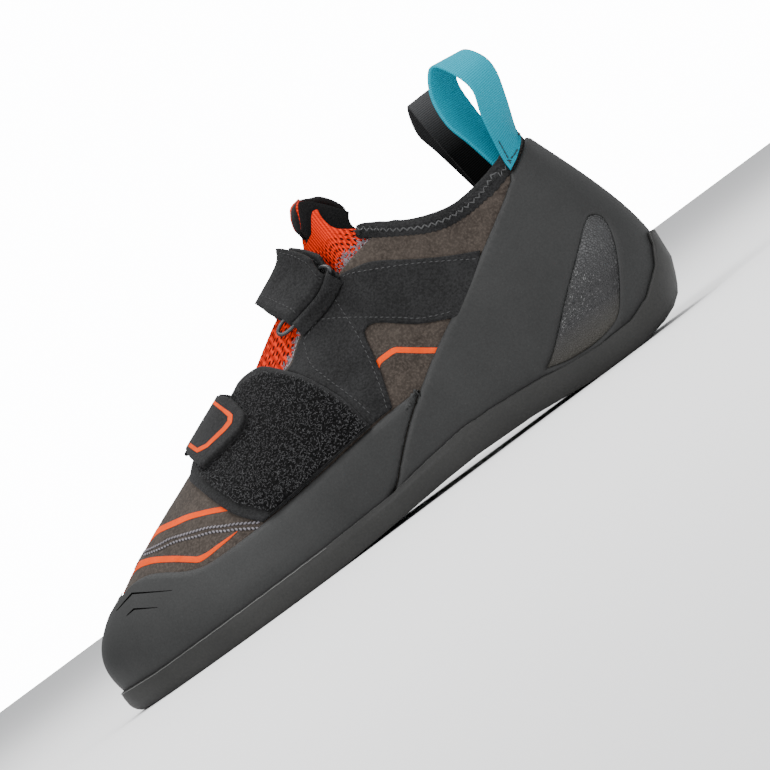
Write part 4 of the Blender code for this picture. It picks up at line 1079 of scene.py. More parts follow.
# Where the rubber and the overlays have given way a little in wear, drawn on the side of the shoe.
RAND_FOLDS = [[(52, 18), (72, 21), (96, 20), (118, 23)], [(116, 14), (126, 20), (134, 27)]]
HEEL_FOLDS = [[(168, 32), (178, 42), (196, 52), (216, 60)], [(205, 66), (220, 68), (234, 66)]]
SIDE_FOLDS = [[(142, 74), (150, 69), (155, 60)], [(164, 82), (178, 75), (192, 67)],
              [(130, 66), (138, 61), (146, 52)]]


def folds(lines, width, depth):
    """Relief of soft troughs along lines drawn on the shoe, the same on both sides."""
    flat = [np.array(drawn(line)) for line in lines]

    def relief(s, v):
        total = np.zeros(len(s))
        spots = np.stack((np.abs(s), np.where(v > V_TOP, 2 * V_TOP - v, v)), axis=1)
        for line in flat:
            gap, share = distance_along(spots, line)
            fade = np.sin(np.pi * np.clip(share, 0.03, 0.97)) ** 0.6
            total = total - depth * (1 - soft(gap / width)) * fade
        return total

    return relief


def toe_relief(s, v):
    """Soft troughs of the toe rand, and its thinned upper edge over the toes."""
    near = np.where(v > V_TOP, 2 * V_TOP - v, v)
    thin = soft((near / V_TOP - 0.72) / 0.14)
    return folds(RAND_FOLDS, 7.0, 0.45)(s, v) - 0.55 * RUBBER * thin


def stripe(points, widths, offset, thick=0.14, copies=(NEAR,), smooth=True):
    """Thin printed band along a drawn line, as wide at each drawn point as the list says."""
    line = np.array(curve(points, 1.0) if smooth else straight(points, 1.0))
    gone = np.concatenate(([0.0], np.cumsum(np.linalg.norm(np.diff(line, axis=0), axis=1))))
    marks = [gone[np.argmin(np.linalg.norm(line - np.array(p), axis=1))] for p in points]
    half = np.interp(gone, marks, widths) / 2
    way = np.gradient(line, axis=0)
    way /= np.linalg.norm(way, axis=1, keepdims=True)
    across = np.stack((-way[:, 1], way[:, 0]), axis=1) * half[:, None]
    outline = loop_of(trace([tuple(p) for p in line + across], offset),
                      trace([tuple(p) for p in (line - across)[::-1]], offset))
    result = bmesh.new()
    for side in copies:
        places = over_ridge(outline) if side == FAR else outline
        bm = lay(cut_grid(plate(places, rim=((0.1, 0.2),), wall=0.8), 2.0, 2.0), offset, thick)
        mesh = bpy.data.meshes.new("stripe")
        bm.to_mesh(mesh)
        bm.free()
        result.from_mesh(mesh)
        bpy.data.meshes.remove(mesh)
    return result


TOE_GROOVES = [[(20.6, 36.6), (29.7, 38.4), (43.6, 30.6)], [(23.2, 32.9), (27.1, 33.3), (35.3, 28.7)]]
RAND_AT_TIP = 0.89 * V_TOP

# Lengths along the foot line where the toe rand ends and where the heel rand's front edge meets it.
TOE_RAND_END = 130.5
HEEL_RAND_FOOT = 131.5
HEEL_RAND_NEXT = 133


def build_toe_rand():
    """Rubber band over the toes, near and far side, with its two pressed grooves drawn as thin strips of painted
    shade.
    """
    level = GAP + RUBBER
    front = [(0.0, RAND_AT_TIP)]
    top = drawn(TOE_RAND_TOP, level)
    lead = straight([front[0], top[0]])[1:-1]
    rear = drawn(HEEL_RAND_FRONT, level, shift=(-SEAM, 0.0))
    near = foot_line(0, foot_place(TOE_RAND_END)[0]) + rear[:-1] + top[::-1] + lead[::-1] + front
    laid_piece("toe_rand_cover", loop_of(near, over_tip(near[::-1])), GAP, RUBBER, RAND,
               ["toe_rand"], rim=((0.7, 0.38), (1.3, 0.34)), wall=0.28, cell=(1.6, 1.6), relief=toe_relief)
    # Each groove is a thin dark strip laid on the rand: painted shade in the groove.
    for k, line in enumerate(TOE_GROOVES):
        bm = stripe(line, [0.2, 0.6, 0.15], level - 0.01, 0.07, copies=(NEAR, FAR), smooth=False)
        piece(f"toe_groove_{k + 1}", bm, GROOVE_PAINTED_SHADE)


def build_heel_rand():
    """Rubber band round the heel with a leaf-shaped window and its grained panel on each side."""
    level = GAP + RUBBER
    front = drawn(HEEL_RAND_FRONT, level)
    top = drawn(HEEL_RAND_TOP, level)
    back = [(s, collar_low(s, SEAM)) for s in np.linspace(top[-1][0] + FOOT_STEP, S_END, 14)]
    foot = [foot_place(HEEL_RAND_FOOT)] + foot_line(foot_place(HEEL_RAND_NEXT)[0], S_END)
    near = foot[::-1] + front[1:] + top[1:] + back
    leaf = loop_of(drawn(LEAF + LEAF[:1], level))
    laid_piece("heel_rand_cover", loop_of(near, over_heel(near[::-1])), GAP, RUBBER, RAND,
               ["heel_rand"], holes=[leaf, over_heel(leaf)], rim=((0.5, 0.35), (0.9, 0.3)), wall=0.35,
               relief=folds(HEEL_FOLDS, 9.0, 0.5))
    for name, places, cad in (("outer_heel_window", leaf, "outer_heel_inlay"),
                              ("inner_heel_window", over_heel(leaf), "inner_heel_inlay")):
        laid_piece(name, places, GAP, INLAY, INLAY_MAT, [cad], rim=((0.3, 0.3),), wall=0.7)


# Along the shoe: the height of the sole's upper edge, of its underside, and how far its bevel runs in.
EDGE_LINE = np.array([(3, 10.2), (20, 9.4), (50, 9.6), (100, 10.0), (130, 11.0), (150, 13.5), (165, 15.0),
                      (180, 14.5), (200, 12.5), (210, 10.8), (225, 9.4), (240, 9.8), (250, 13.2), (260, 20.5),
                      (264.5, 27.5), (266, 32.0)])
ARCH_LINE = np.array([(95, 0.0), (120, 1.3), (150, 3.3), (165, 3.8), (190, 3.0), (207, 1.2), (218, 0.0),
                      (240, 0.0), (245, 1.5)])
BEVEL_LINE = np.array([(2, 6.0), (20, 3.0), (40, 1.5), (120, 1.5), (150, 3.0), (200, 4.0), (238, 4.5),
                       (250, 13.0), (256.5, 20.0), (258.5, 23.5)])
SOLE_STEP = 1.2
EDGE_ROWS = 240
BEVEL_SHARES = (0.15, 0.3, 0.5, 0.7, 0.85, 0.97)
RIM_RING = 4
RIM_LINE_END = -0.128


def sole_rings():
    """Closed rings of points round the sole, from the inside of its rim to its underside."""
    near = np.arange(0, S_END, SOLE_STEP)
    s = np.concatenate((near, [S_END], -near[:0:-1]))
    place = np.where(s < 0, 2 * V_TOP, 0.0)
    s = np.abs(s)
    edge = []
    for one, base in zip(s, place):
        rows = np.linspace(0.3, V_TOP / 2, EDGE_ROWS)
        real = rows if base == 0 else base - rows
        line = on_last(np.full(EDGE_ROWS, one), real, np.full(EDGE_ROWS, SOLE_IN + SOLE_LIP)) / MM
        limit = np.interp(line[:, 0] + HEEL_SPOT + TOE_PLANE, EDGE_LINE[:, 0], EDGE_LINE[:, 1])
        above = np.argmax(line[:, 2] >= limit)
        edge.append(rows[above] if line[above, 2] >= limit[above] else rows[-1])
    edge = np.array(edge)

    def ring(share, offset, drop=0.0):
        rows = np.maximum(edge * share - drop, 0.0)
        real = np.where(place == 0, rows, place - rows)
        return on_last(s, real, np.full(len(s), offset)) / MM

    # Each ring is a share of the way up to the edge, an offset in widths of the lip, and a drop.
    rings = [ring(share, SOLE_IN + SOLE_LIP * lips, drop) for share, lips, drop in (
        (0, 0, 0), (0.5, 0, 0), (1, 0, 0), (1, 0.7, 0), (1, 1, 0.35), (1, 1.08, 1.0),
        (0.5, 1.5, 0), (0.2, 1.8, 0))]
    shoulder = ring(0.06, SOLE_IN + SOLE_LIP * 2)
    column = s / S_STEP
    loop_place = np.where(place == 0, column, (LOOP - column) % LOOP)
    out = foot_outward(loop_place)
    foot_x = between(FOOT, loop_place)[:, 0] + TOE_PLANE
    into = np.interp(foot_x, BEVEL_LINE[:, 0], BEVEL_LINE[:, 1])
    bottom = shoulder - out * into[:, None]
    floor = np.interp(bottom[:, 0] + HEEL_SPOT + TOE_PLANE, ARCH_LINE[:, 0], ARCH_LINE[:, 1])
    for share in BEVEL_SHARES:
        angle = share * math.pi / 2
        turn = shoulder - out * (into * (1 - math.cos(angle)))[:, None]
        turn[:, 2] = shoulder[:, 2] - (shoulder[:, 2] - floor) * math.sin(angle)
        rings.append(turn)
    bottom[:, 2] = floor
    rings.append(bottom)
    return rings


def place_key(vert):
    """Place of a vertex in whole tenths of a micrometre."""
    return tuple(np.round(np.array(vert.co) * 1e7).astype(int))


def build_sole():
    """Rubber sole, extruded ring by ring, with a light line along its rim that is partly painted edge highlight and
    partly glue.
    """
    rings = sole_rings()
    bm = bmesh.new()
    verts = [bm.verts.new(p * MM) for p in rings[0]]
    edges = closed_edges(bm, verts)
    first = edges[:]
    for ring in rings[1:]:
        made = bmesh.ops.extrude_edge_only(bm, edges=edges)["geom"]
        edges = of_kind(made, bmesh.types.BMEdge)
        fresh = {place_key(vert): vert for vert in of_kind(made, bmesh.types.BMVert)}
        verts = [fresh[place_key(old)] for old in verts]
        for vert, place in zip(verts, ring):
            vert.co = place * MM
    for rim in (first, edges):
        bmesh.ops.triangle_fill(bm, use_beauty=True, use_dissolve=False, edges=rim)
    piece("sole_cover", bm, SOLE, ["outsole"])
    # Thin light tube along the rim: partly painted edge highlight, partly glue.
    rim = rings[RIM_RING] * MM
    shown = rim[:, 0] < RIM_LINE_END
    start = int(np.argmax(~shown))
    order = np.roll(np.arange(len(rim)), -start)
    rim = rim[order][shown[order]]
    tube_piece("sole_rim_line", rim, 0.15, RIM_HIGHLIGHT_GLUE)


def build_insole():
    """Plain footbed inside the upper's foot line."""
    s = np.arange(0, S_END, FOOT_STEP)
    inside_wall = np.full(len(s), -(WALL + 2 * GAP))
    near = on_last(s, np.zeros(len(s)), inside_wall)
    far = on_last(np.array([S_END, *s[:0:-1]]), np.full(len(s), 2 * V_TOP), inside_wall)
    bm = bmesh.new()
    edges = closed_edges(bm, [bm.verts.new(p) for p in (*near, *far)])
    bmesh.ops.triangle_fill(bm, use_beauty=True, use_dissolve=False, edges=edges)
    raised = bmesh.ops.extrude_face_region(bm, geom=bm.faces[:], use_keep_orig=True)["geom"]
    bmesh.ops.translate(bm, verts=of_kind(raised, bmesh.types.BMVert), vec=(0, 0, INSOLE * MM))
    obj = piece("footbed", bm, LINING, ["insole"])
    obj.data.shade_flat()


ZIGZAG = [(178.6, 97.2), (181.5, 95.3), (185.9, 91.8), (192.4, 87.0), (199.9, 82.8), (208.6, 80.3),
          (219.1, 80.0), (226.9, 81.9), (231.0, 83.8)]
ZIGZAG_UP = 2.2
BINDING_TOOTH = 0.45
BINDING_SWELL = 0.9


def build_binding():
    """Padded roll round the collar with a toothed lower edge and a zigzag seam."""
    low = collar_edge(0.0)
    top = [(s, V_TOP) for s in np.arange(S_END, COLLAR_START * S_STEP, -FOOT_STEP)]
    near = [(s, v - (BINDING_TOOTH if k % 2 else 0.0)) for k, (s, v) in enumerate(loop_of(low))]
    near.append((S_END, low[-1][1]))
    side = drawn(COLLAR_TOP) + [(COLLAR_START * S_STEP, V_TOP)] + top[::-1]
    laid_piece("collar_roll", loop_of(near, over_heel(near[::-1]), over_heel(side), side[::-1]), -WALL - GAP,
               BINDING + BINDING_SWELL, MICRO, ["collar_binding"],
               rim=((0.3, 0.06), (0.9, 0.1), (1.4, 0.12), (1.0, 0.04)), wall=0.68, cell=(2.0, 1.2))
    front = drawn(ZIGZAG)
    rear = np.linspace(front[-1][0] + FOOT_STEP, S_END, 24)
    line = loop_of(front, [(s, collar_low(s, 0.0) + ZIGZAG_UP) for s in rear])
    places = []
    for run in (line, over_heel(line[::-1])):
        places += stitch_places(run, 1.1, 1.35, lean=0.9)
    # Thread colour lighter than the real dark thread: painted glints.
    piece("collar_zigzag", scatter(bead_mesh(2.8, 0.34), places), COLLAR_THREAD_GLINT)


OVERLAY_TOP = [(157.5, 87.2), (162, 88.0), (170, 86.6), (175, 85.0), (180, 82.0), (190, 75.0), (200, 69.0),
               (210.0, 63.9)]
OVERLAY_LOW = [(190.0, 48.5), (176.5, 55.3), (169.0, 61.0), (165.2, 64.1), (161.2, 66.3), (158.3, 65.9),
               (156.9, 63.4), (155.6, 57.0), (153.4, 48.1), (149.6, 36.6)]
OVERLAY_LEFT = [(138.5, 36.2), (136.7, 49.8), (130.9, 63.5), (126.0, 71.0)]
OVERLAY_THROAT = [(129.5, 72.4), (137, 77.6), (150, 83.6)]


def build_overlays():
    """Side panels sewn on the upper, near and far side."""
    lines = (OVERLAY_THROAT + OVERLAY_TOP, OVERLAY_LOW, OVERLAY_LEFT)
    near = loop_of(*(drawn(line, GAP + OVERLAY) for line in lines))
    for name, places, cad in (("outer_side_overlay", near, "outer_overlay"),
                              ("inner_side_overlay", over_ridge(near), "inner_overlay")):
        laid_piece(name, places, GAP, OVERLAY, MICRO, [cad], cell=(1.6, 1.6),
                   relief=folds(SIDE_FOLDS, 3.6, 0.24))


OVERLAY_SEAMS = [
    [(163.1, 86.4), (166.0, 86.0), (176.1, 80.9), (189.9, 73.2), (207.0, 62.2)],
    [(147.6, 78.8), (156.2, 73.2), (170.1, 62.7), (178.0, 56.6), (189.0, 51.6)],
    [(156.4, 82.0), (155.3, 67.3), (153.9, 58.6), (151.9, 50.4), (150.0, 43.7), (147.6, 37.2)],
    [(162.9, 85.0), (153.8, 81.8), (145.7, 78.9), (138.3, 76.4)],
    [(137.6, 76.0), (134.9, 68.1), (136.3, 60.4), (140.0, 48.0), (141.6, 39.6)],
]


TOE_SEAM_A = [(39.5, 48.6), (48.9, 46.9), (53.3, 46.3), (60.1, 44.1), (67.7, 41.4), (73.6, 38.2),
              (78.0, 36.0), (85.5, 31.4)]
TOE_SEAM_B = [(41.0, 47.2), (48.3, 45.4), (54.6, 44.2), (62.0, 41.4), (68.7, 38.9), (72.7, 36.6),
              (77.0, 34.3), (84.1, 29.8)]


def build_seams():
    """Thread of the overlays and of the toe seam, near and far side, with painted shade in the toe seam's pits."""
    level = GAP + OVERLAY
    places = []
    for seam in OVERLAY_SEAMS:
        line = drawn(seam, level)
        places += stitch_places(line, level + STITCH_UP, 2.3, tilt=0.12)
        places += stitch_places(over_ridge(line), level + STITCH_UP, 2.3, tilt=-0.12)
    # The stitches' grey is the dark thread with painted glints.
    piece("overlay_stitches", scatter(bead_mesh(1.55, 0.18), places), OVERLAY_THREAD_GLINT)
    places, dark = [], []
    for seam, tilt in ((TOE_SEAM_A, 0.6), (TOE_SEAM_B, -0.6)):
        line = drawn(seam)
        for run in (line, over_ridge(line)):
            places += stitch_places(run, 0.15, 1.8, tilt=tilt)
            # Black beads between the stitches: painted shade in the stitch pits.
            dark += stitch_places(run, 0.06, 1.8, tilt=tilt, first=1.0)
    piece("toe_seam_thread", scatter(bead_mesh(1.75, 0.46), places), LILAC_THREAD)
    piece("toe_seam_pits", scatter(bead_mesh(1.1, 0.5), dark), THREAD)


STRIPE_A = [(44.2, 50.2), (46.4, 50.9), (49.7, 51.5), (53.4, 51.1), (58.6, 50.0), (63.7, 48.9), (68.4, 47.2),
            (73.0, 45.3), (79.5, 42.2)]
STRIPE_B = [(26.2, 40.4), (27.1, 41.4), (30.0, 43.3), (33.5, 44.9), (37.0, 45.4), (40.8, 44.6), (44.5, 43.1),
            (50.7, 39.4), (56.6, 35.2), (58.6, 33.9), (62.4, 33.4), (67.2, 33.5), (72.0, 33.6), (76.5, 33.8)]
STRIPE_C = [(153.2, 51.5), (155.6, 53.0), (159.0, 53.2), (162.7, 53.0), (165.2, 51.3), (170.5, 47.2),
            (177.5, 42.0)]
STRIPE_A_WIDTHS = [1.2, 1.7, 1.9, 2.0, 2.1, 2.0, 1.9, 1.9, 1.8]
STRIPE_B_WIDTHS = [0.4, 0.7, 1.2, 1.7, 2.2, 2.3, 2.2, 2.2, 2.2, 2.2, 1.6, 1.3, 0.9, 0.15]
STRIPE_C_WIDTHS = [2.0, 2.1, 2.1, 2.1, 2.1, 2.1, 2.0]
TAB_PRINT = [(96.4, 78.2), (98.0, 73.6), (99.1, 70.0), (97.6, 68.2), (94.4, 67.3), (85.3, 66.2),
             (81.2, 66.9), (79.6, 70.6)]
TAB_PRINT_WIDTHS = [1.3, 1.4, 1.9, 1.8, 1.6, 1.4, 1.6, 1.5]
TAB_SEAM = [(98.4, 77.0), (101.2, 71.0)]


def build_prints():
    """Orange stripes of the toe, the sides and the lower tab, and the tab's short seam."""
    for name, line, widths in (("toe_stripe_upper", STRIPE_A, STRIPE_A_WIDTHS),
                               ("toe_stripe_lower", STRIPE_B, STRIPE_B_WIDTHS),
                               ("side_stripe", STRIPE_C, STRIPE_C_WIDTHS)):
        piece(name, stripe(line, widths, STITCH_UP, copies=(NEAR, FAR)), PRINT)
    bm = stripe(TAB_PRINT, TAB_PRINT_WIDTHS, TAB_OUT + STITCH_UP / 2, smooth=False)
    piece("tab_print", bm, PRINT)
    places = stitch_places(trace(straight(TAB_SEAM), TAB_OUT), TAB_OUT + STITCH_UP, 1.3)
    piece("tab_stitches", scatter(bead_mesh(0.9, 0.16), places), THREAD)


PATCH_FRONT = [(86, 31.7), (78, 42), (71.5, 60)]
PATCH_BACK = [(106, 78.4), (112, 79.6), (119, 78.4), (126, 71.0), (131.2, 63.5), (137, 49.5), (139, 35.9)]
LOWER_RIDGE = (77.5, 102.5)
FAR_BAND_FRONT = [(79.5, 63.0), (83, 52.0)]
FAR_BAND_BACK = [(107, 54.0), (105, 68.0)]
PILE_EDGE = [(90.6, 32.6), (82.3, 43.0), (76.2, 58.5), (77.4, 65.6), (86.2, 69.8), (98.3, 74.6),
             (106.2, 77.0), (111.8, 77.8), (118.4, 76.2), (125.2, 69.9), (130.3, 62.6), (136.0, 49.2), (138.2, 36.8)]
TAB_LINE = [(76.7, 69.4), (76.9, 66.8), (78.7, 61.9), (80.0, 61.6), (89.7, 62.8), (99.0, 64.2),
            (101.7, 65.6), (103.6, 67.7), (103.2, 71.0), (102.2, 76.4)]
TAB_RIDGE = (79.6, 101.8)
TAB_TOP = V_TOP - 0.6
LOWER_ANCHOR = [(84.5, 44.0), (105.5, 45.5)]
LOWER_LEG = [(85.0, 38.5), (105.0, 39.5)]
PILE_LOOPS = 7600
PILE_SEED = 11


def inside(points, outline):
    """Which flat points lie inside a closed outline."""
    a = np.array(outline, float)
    b = np.roll(a, -1, axis=0)
    result = np.zeros(len(points), bool)
    for (x0, y0), (x1, y1) in zip(a, b):
        if y0 != y1:
            crosses = (points[:, 1] < y0) != (points[:, 1] < y1)
            side = points[:, 0] < (x1 - x0) * (points[:, 1] - y0) / (y1 - y0) + x0
            result ^= crosses & side
    return result


def pile_tips(outline, height, count, seed):
    """Places for little curled loops over a flat outline, each leaning its own way."""
    rng = np.random.default_rng(seed)
    low, high = np.min(outline, axis=0), np.max(outline, axis=0)
    flat = rng.uniform(low, high, size=(count, 2))
    flat = flat[inside(flat, outline)]
    offset = rng.uniform(-0.15, 0.3, len(flat)) + height
    spots = on_last(flat[:, 0], flat[:, 1], offset)
    ups = normal_at(flat[:, 0], flat[:, 1])
    return [stand(spot, np.cross(up, rng.normal(size=3)) + up * rng.uniform(-0.5, 0.5), up)
            for spot, up in zip(spots, ups)]


def strap_stitches(name, flat_size, surface, inset, end):
    """Stitches along both long edges of a strap, on its upper and its under side."""
    wide, long = flat_size
    places = []
    for across in (inset, wide - inset):
        for side in (1, -1):
            line = [(across, end), (across, long - end)]
            places += stitch_places(line, side * (STRAP / 2 + STITCH_UP), 2.2, surface)
    # Thread a little lighter than black: painted glints.
    piece(name, scatter(bead_mesh(1.5, 0.17), places), STRAP_THREAD_GLINT)


def pile_piece(name, outline, low, cad):
    """Pad of closure pile on a strap."""
    laid_piece(name, outline, low, PILE, PILE_MAT, [cad], rim=((0.5, 0.4),), wall=0.5,
               cell=(1.2, 1.2))


def part_way(p, q, share):
    """Pattern place at a share of the way between two."""
    return p[0] + (q[0] - p[0]) * share, p[1] + (q[1] - p[1]) * share


def build_lower_strap():
    """Lower strap: its patch and pile on the near side, its fold and ring on the far side."""
    front = drawn(PATCH_FRONT, PATCH_OUT)
    back = drawn(PATCH_BACK, PATCH_OUT)
    left, right = crown_place(LOWER_RIDGE[0]), crown_place(LOWER_RIDGE[1])
    laid_piece("lower_closure_patch", loop_of(front, [left, right], back, straight([back[-1], front[0]])),
               GAP, STRAP, MICRO, ["lower_strap"])
    far_front = over_ridge(trace(FAR_BAND_FRONT, PATCH_OUT))
    far_back = over_ridge(trace(FAR_BAND_BACK[::-1], PATCH_OUT))
    low, high = GAP + STRAP / 2, BACK_IN + STRAP / 2
    rows = rows_between([(left, right), (far_front[0], far_back[0]), (far_front[1], far_back[1])],
                        (0, 0.33, 0.66))
    strap = [row_on_last(a, b, low) for a, b in rows]
    strap += turn_rows(*rows[-1], low, high, 1)
    strap += [row_on_last(a, b, high) for a, b in reversed(rows)]
    bm, flat_size, surface = band(strap, STRAP)
    piece("lower_strap_band", bm, MICRO)
    strap_stitches("lower_strap_stitches", flat_size, surface, 2.4, 5.0)
    anchor_roll("lower_anchor_roll", "lower_ring_loop", LOWER_ANCHOR, LOWER_LEG, FAR)
    wire_ring("lower_wire_ring", "lower_ring", FAR, FAR_BAND_FRONT[1], FAR_BAND_BACK[0],
              (PATCH_OUT + BACK_IN) / 2, LOWER_ANCHOR)


def build_lower_closure():
    """Pile of the lower patch with its curled loops, coloured lighter as painted glints, and the strap's tab over
    it.
    """
    places = loop_of(trace(straight(PILE_EDGE[:4]), PILE_OUT), drawn(PILE_EDGE[3:], PILE_OUT),
                     trace(straight([PILE_EDGE[-1], PILE_EDGE[0]]), PILE_OUT))
    pile_piece("lower_pile", places, PILE_IN, "lower_strap_pile")
    tips = pile_tips(places, PILE_OUT, PILE_LOOPS, PILE_SEED)
    # The loops take a lighter colour than the pile: painted glints.
    piece("lower_pile_loops", scatter(bead_mesh(1.0, 0.11, 4), tips), PILE_LOOP_GLINT)
    start, end = ((crown_place(x)[0], TAB_TOP) for x in TAB_RIDGE)
    outline = loop_of([start], trace(straight(TAB_LINE), TAB_OUT), straight([end, start]))
    laid_piece("lower_tab", outline, TAB_IN, TAB, MICRO, ["lower_strap_tab"],
               rim=((0.28, 0.2), (0.4, 0.06)), wall=0.74, cell=(1.6, 1.6))


UPPER_RIDGE = (134.2, 156.2)
UPPER_FRONT = [(133.5, 91.0), (136.6, 86.8)]
UPPER_REAR = [(157.8, 100.0), (157.6, 93.6)]
FAR_PATCH = [(133, 85), (129, 72), (128, 58), (150, 57), (157, 72), (158, 90)]
FAR_BACK = [(133.5, 90), (133.3, 82.5), (156.6, 84.5), (157.6, 94)]
FAR_TAB = [(132.9, 81.8), (131.5, 70), (134, 66.5), (150, 67), (154.6, 72), (156.6, 83.8)]
FAR_PILE = [(131.5, 76), (130, 60), (149.5, 59.5), (154.8, 72), (155.5, 79)]
UPPER_ANCHOR = [(138.2, 82.8), (160.2, 90.4)]
UPPER_LEG = [(138.6, 77.4), (162.6, 85.0)]
RING_SPARE = 2.6
ROLL = 0.9


def anchor_roll(name, cad, anchor, leg, side):
    """Soft loop sewn to the overlay that rolls round the ring and tucks under itself."""
    low, high = ANCHOR_IN + 0.5, ANCHOR_TOP + 0.4
    a, b = trace(anchor, high)
    c, d = trace(leg, GAP + OVERLAY)
    up = 1
    if side == FAR:
        (a, b), (c, d) = over_ridge([a, b]), over_ridge([c, d])
        up = -1

    def row(share, offset):
        return row_on_last(part_way(c, a, share), part_way(d, b, share), offset)

    rows = [row_on_last(c, d, GAP + OVERLAY + ROLL / 2), row(0.45, high * 0.62), row(0.8, high * 0.93),
            row_on_last(a, b, high)]
    rows += turn_rows(a, b, low, high, up)[::-1]
    rows += [row_on_last(a, b, low), row(0.5, low)]
    piece(name, band(rows, ROLL, cell=1.0)[0], MICRO, [cad])


def wire_ring(name, cad, side, left, right, offset, anchor):
    """Flat wire ring that runs through a strap's fold and its anchor roll."""
    low_offset = (ANCHOR_IN + ANCHOR_TOP) / 2 + 0.4
    left, right = trace([left, right], offset)
    a, b = trace(anchor, low_offset)
    if side == FAR:
        (left, right), (a, b) = over_ridge([left, right]), over_ridge([a, b])
    ends = [np.array(p, float) for p in (left, right, a, b)]
    top = row_on_last(ends[0], ends[1], offset)
    wide = float(np.linalg.norm(top[-1] - top[0])) / MM
    low = row_on_last(ends[2], ends[3], low_offset)
    tall = float(np.linalg.norm((top[0] + top[-1] - low[0] - low[-1]) / 2)) / MM
    half_wide, half_tall = wide / 2 + RING_SPARE, tall / 2
    turn = half_tall * 0.9
    centres = []
    for quarter, (sx, sy) in enumerate(((1, 1), (-1, 1), (-1, -1), (1, -1))):
        for angle in np.linspace(0, math.pi / 2, 7) + math.pi / 2 * quarter:
            x = sx * (half_wide - turn) + turn * math.cos(angle)
            y = sy * (half_tall - turn) + turn * math.sin(angle)
            centres.append((x / wide + 0.5, 0.5 - y / tall))
    points = []
    for u, t in straight(centres + centres[:1], 0.06)[:-1]:
        high_place = ends[0] + (ends[1] - ends[0]) * u
        low_place = ends[2] + (ends[3] - ends[2]) * u
        s, v = high_place + (low_place - high_place) * t
        points.append(on_last(s, v, offset + (low_offset - offset) * t))
    tube_piece(name, points, RING_WIRE / 2, WIRE, [cad], closed=True)


def build_upper_strap():
    """Upper strap: its fold and ring on the near side, the strap's run over the ridge to the far side."""
    left, right = crown_place(UPPER_RIDGE[0]), crown_place(UPPER_RIDGE[1])
    patch = over_ridge(trace(FAR_PATCH, ANCHOR_IN + STRAP))
    laid_piece("upper_closure_patch", loop_of([left], curve(patch), straight([right, left])),
               ANCHOR_IN, STRAP, MICRO, ["upper_strap"])
    front, rear = trace(UPPER_FRONT, UPPER_B), trace(UPPER_REAR, UPPER_B)
    near = rows_between([(left, right), (front[0], rear[0]), (front[1], rear[1])], (0, 0.5))
    far = over_ridge(trace(FAR_BACK, UPPER_B))
    rows = [row_on_last(a, b, UPPER_A) for a, b in near]
    rows += turn_rows(*near[-1], UPPER_A, UPPER_B, -1)
    rows += [row_on_last(a, b, UPPER_B) for a, b in reversed(near)]
    rows += [row_on_last(far[0], far[3], UPPER_B), row_on_last(far[1], far[2], UPPER_B)]
    bm, flat_size, surface = band(rows, STRAP)
    piece("upper_strap_band", bm, MICRO)
    strap_stitches("upper_strap_stitches", flat_size, surface, 2.6, 1.0)
    anchor_roll("upper_anchor_roll", "upper_ring_loop", UPPER_ANCHOR, UPPER_LEG, NEAR)
    wire_ring("upper_wire_ring", "upper_ring", NEAR, UPPER_FRONT[1], UPPER_REAR[1],
              (UPPER_A + UPPER_B) / 2, UPPER_ANCHOR)


def build_upper_closure():
    """Pile and tab of the upper strap, on the far side."""
    pile_low = ANCHOR_IN + STRAP + GAP
    outline = loop_of(straight(over_ridge(trace(FAR_PILE + FAR_PILE[:1], pile_low))))
    pile_piece("upper_pile", outline, pile_low, "upper_strap_pile")
    top_edge = straight(over_ridge(trace([FAR_TAB[-1], FAR_TAB[0]], UPPER_B)))
    outline = loop_of(curve(over_ridge(trace(FAR_TAB, UPPER_B))), top_edge)
    laid_piece("upper_tab", outline, pile_low + PILE + GAP, TAB, MICRO, ["upper_strap_tab"],
               rim=((0.5, 0.22), (0.7, 0.1)), wall=0.68, cell=(1.6, 1.6))


TONGUE_START = 96.0
TONGUE_LEAVES = 155.5
TONGUE_LOW = [(104, 70), (115, 67), (129, 65.5), (143, 73), (156, 80), (168, 85.5), (176, 88.3), (182, 90.8)]
TONGUE_NEAR = [(184, 94.6), (181, 97.0), (177.9, 99.0), (174.6, 101.4), (171.6, 104.1), (169.9, 107.4),
               (169.3, 111.2), (169.6, 114.2), (168.2, 114.6), (166.3, 113.4), (163.8, 110.6),
               (161.6, 107.8)]
TONGUE_FAR = [(184, 94.6), (179.2, 98.2), (177.2, 101.6), (177.4, 104.6), (178.8, 106.6)]

# The soft lining's tip, from its front edge over the top to its back: lower, middle and upper place,
# each as x, height and y.
LINING_ROWS = [
    ((160.8, 105.6, 2.0), (160.6, 107.0, 0.6), (160.9, 108.2, -0.6)),
    ((162.4, 107.6, 2.4), (161.0, 109.4, -0.6), (160.2, 111.0, -2.4)),
    ((164.4, 110.0, 3.0), (162.4, 112.4, -0.6), (160.9, 114.2, -2.8)),
    ((166.4, 112.2, 4.0), (164.4, 115.2, 0.4), (162.3, 117.0, -2.0)),
    ((168.4, 113.4, 5.5), (166.4, 117.0, 3.0), (163.9, 119.0, 0.4)),
    ((169.8, 113.0, 7.5), (169.0, 117.4, 6.5), (168.0, 120.0, 4.5)),
    ((170.6, 110.8, 9.5), (171.4, 115.2, 10.0), (171.9, 118.2, 8.4)),
    ((170.8, 108.0, 12.0), (172.8, 112.6, 12.6), (175.0, 116.4, 9.6)),
    ((171.2, 105.4, 14.0), (174.2, 109.6, 15.4), (178.0, 112.6, 12.4)),
    ((171.8, 103.2, 15.5), (175.2, 106.4, 17.0), (179.8, 108.2, 14.6)),
    ((172.6, 101.4, 16.5), (175.2, 103.8, 17.6), (179.2, 105.6, 16.0)),
    ((173.6, 100.0, 17.0), (175.0, 101.8, 17.6), (177.2, 103.2, 17.0)),
]
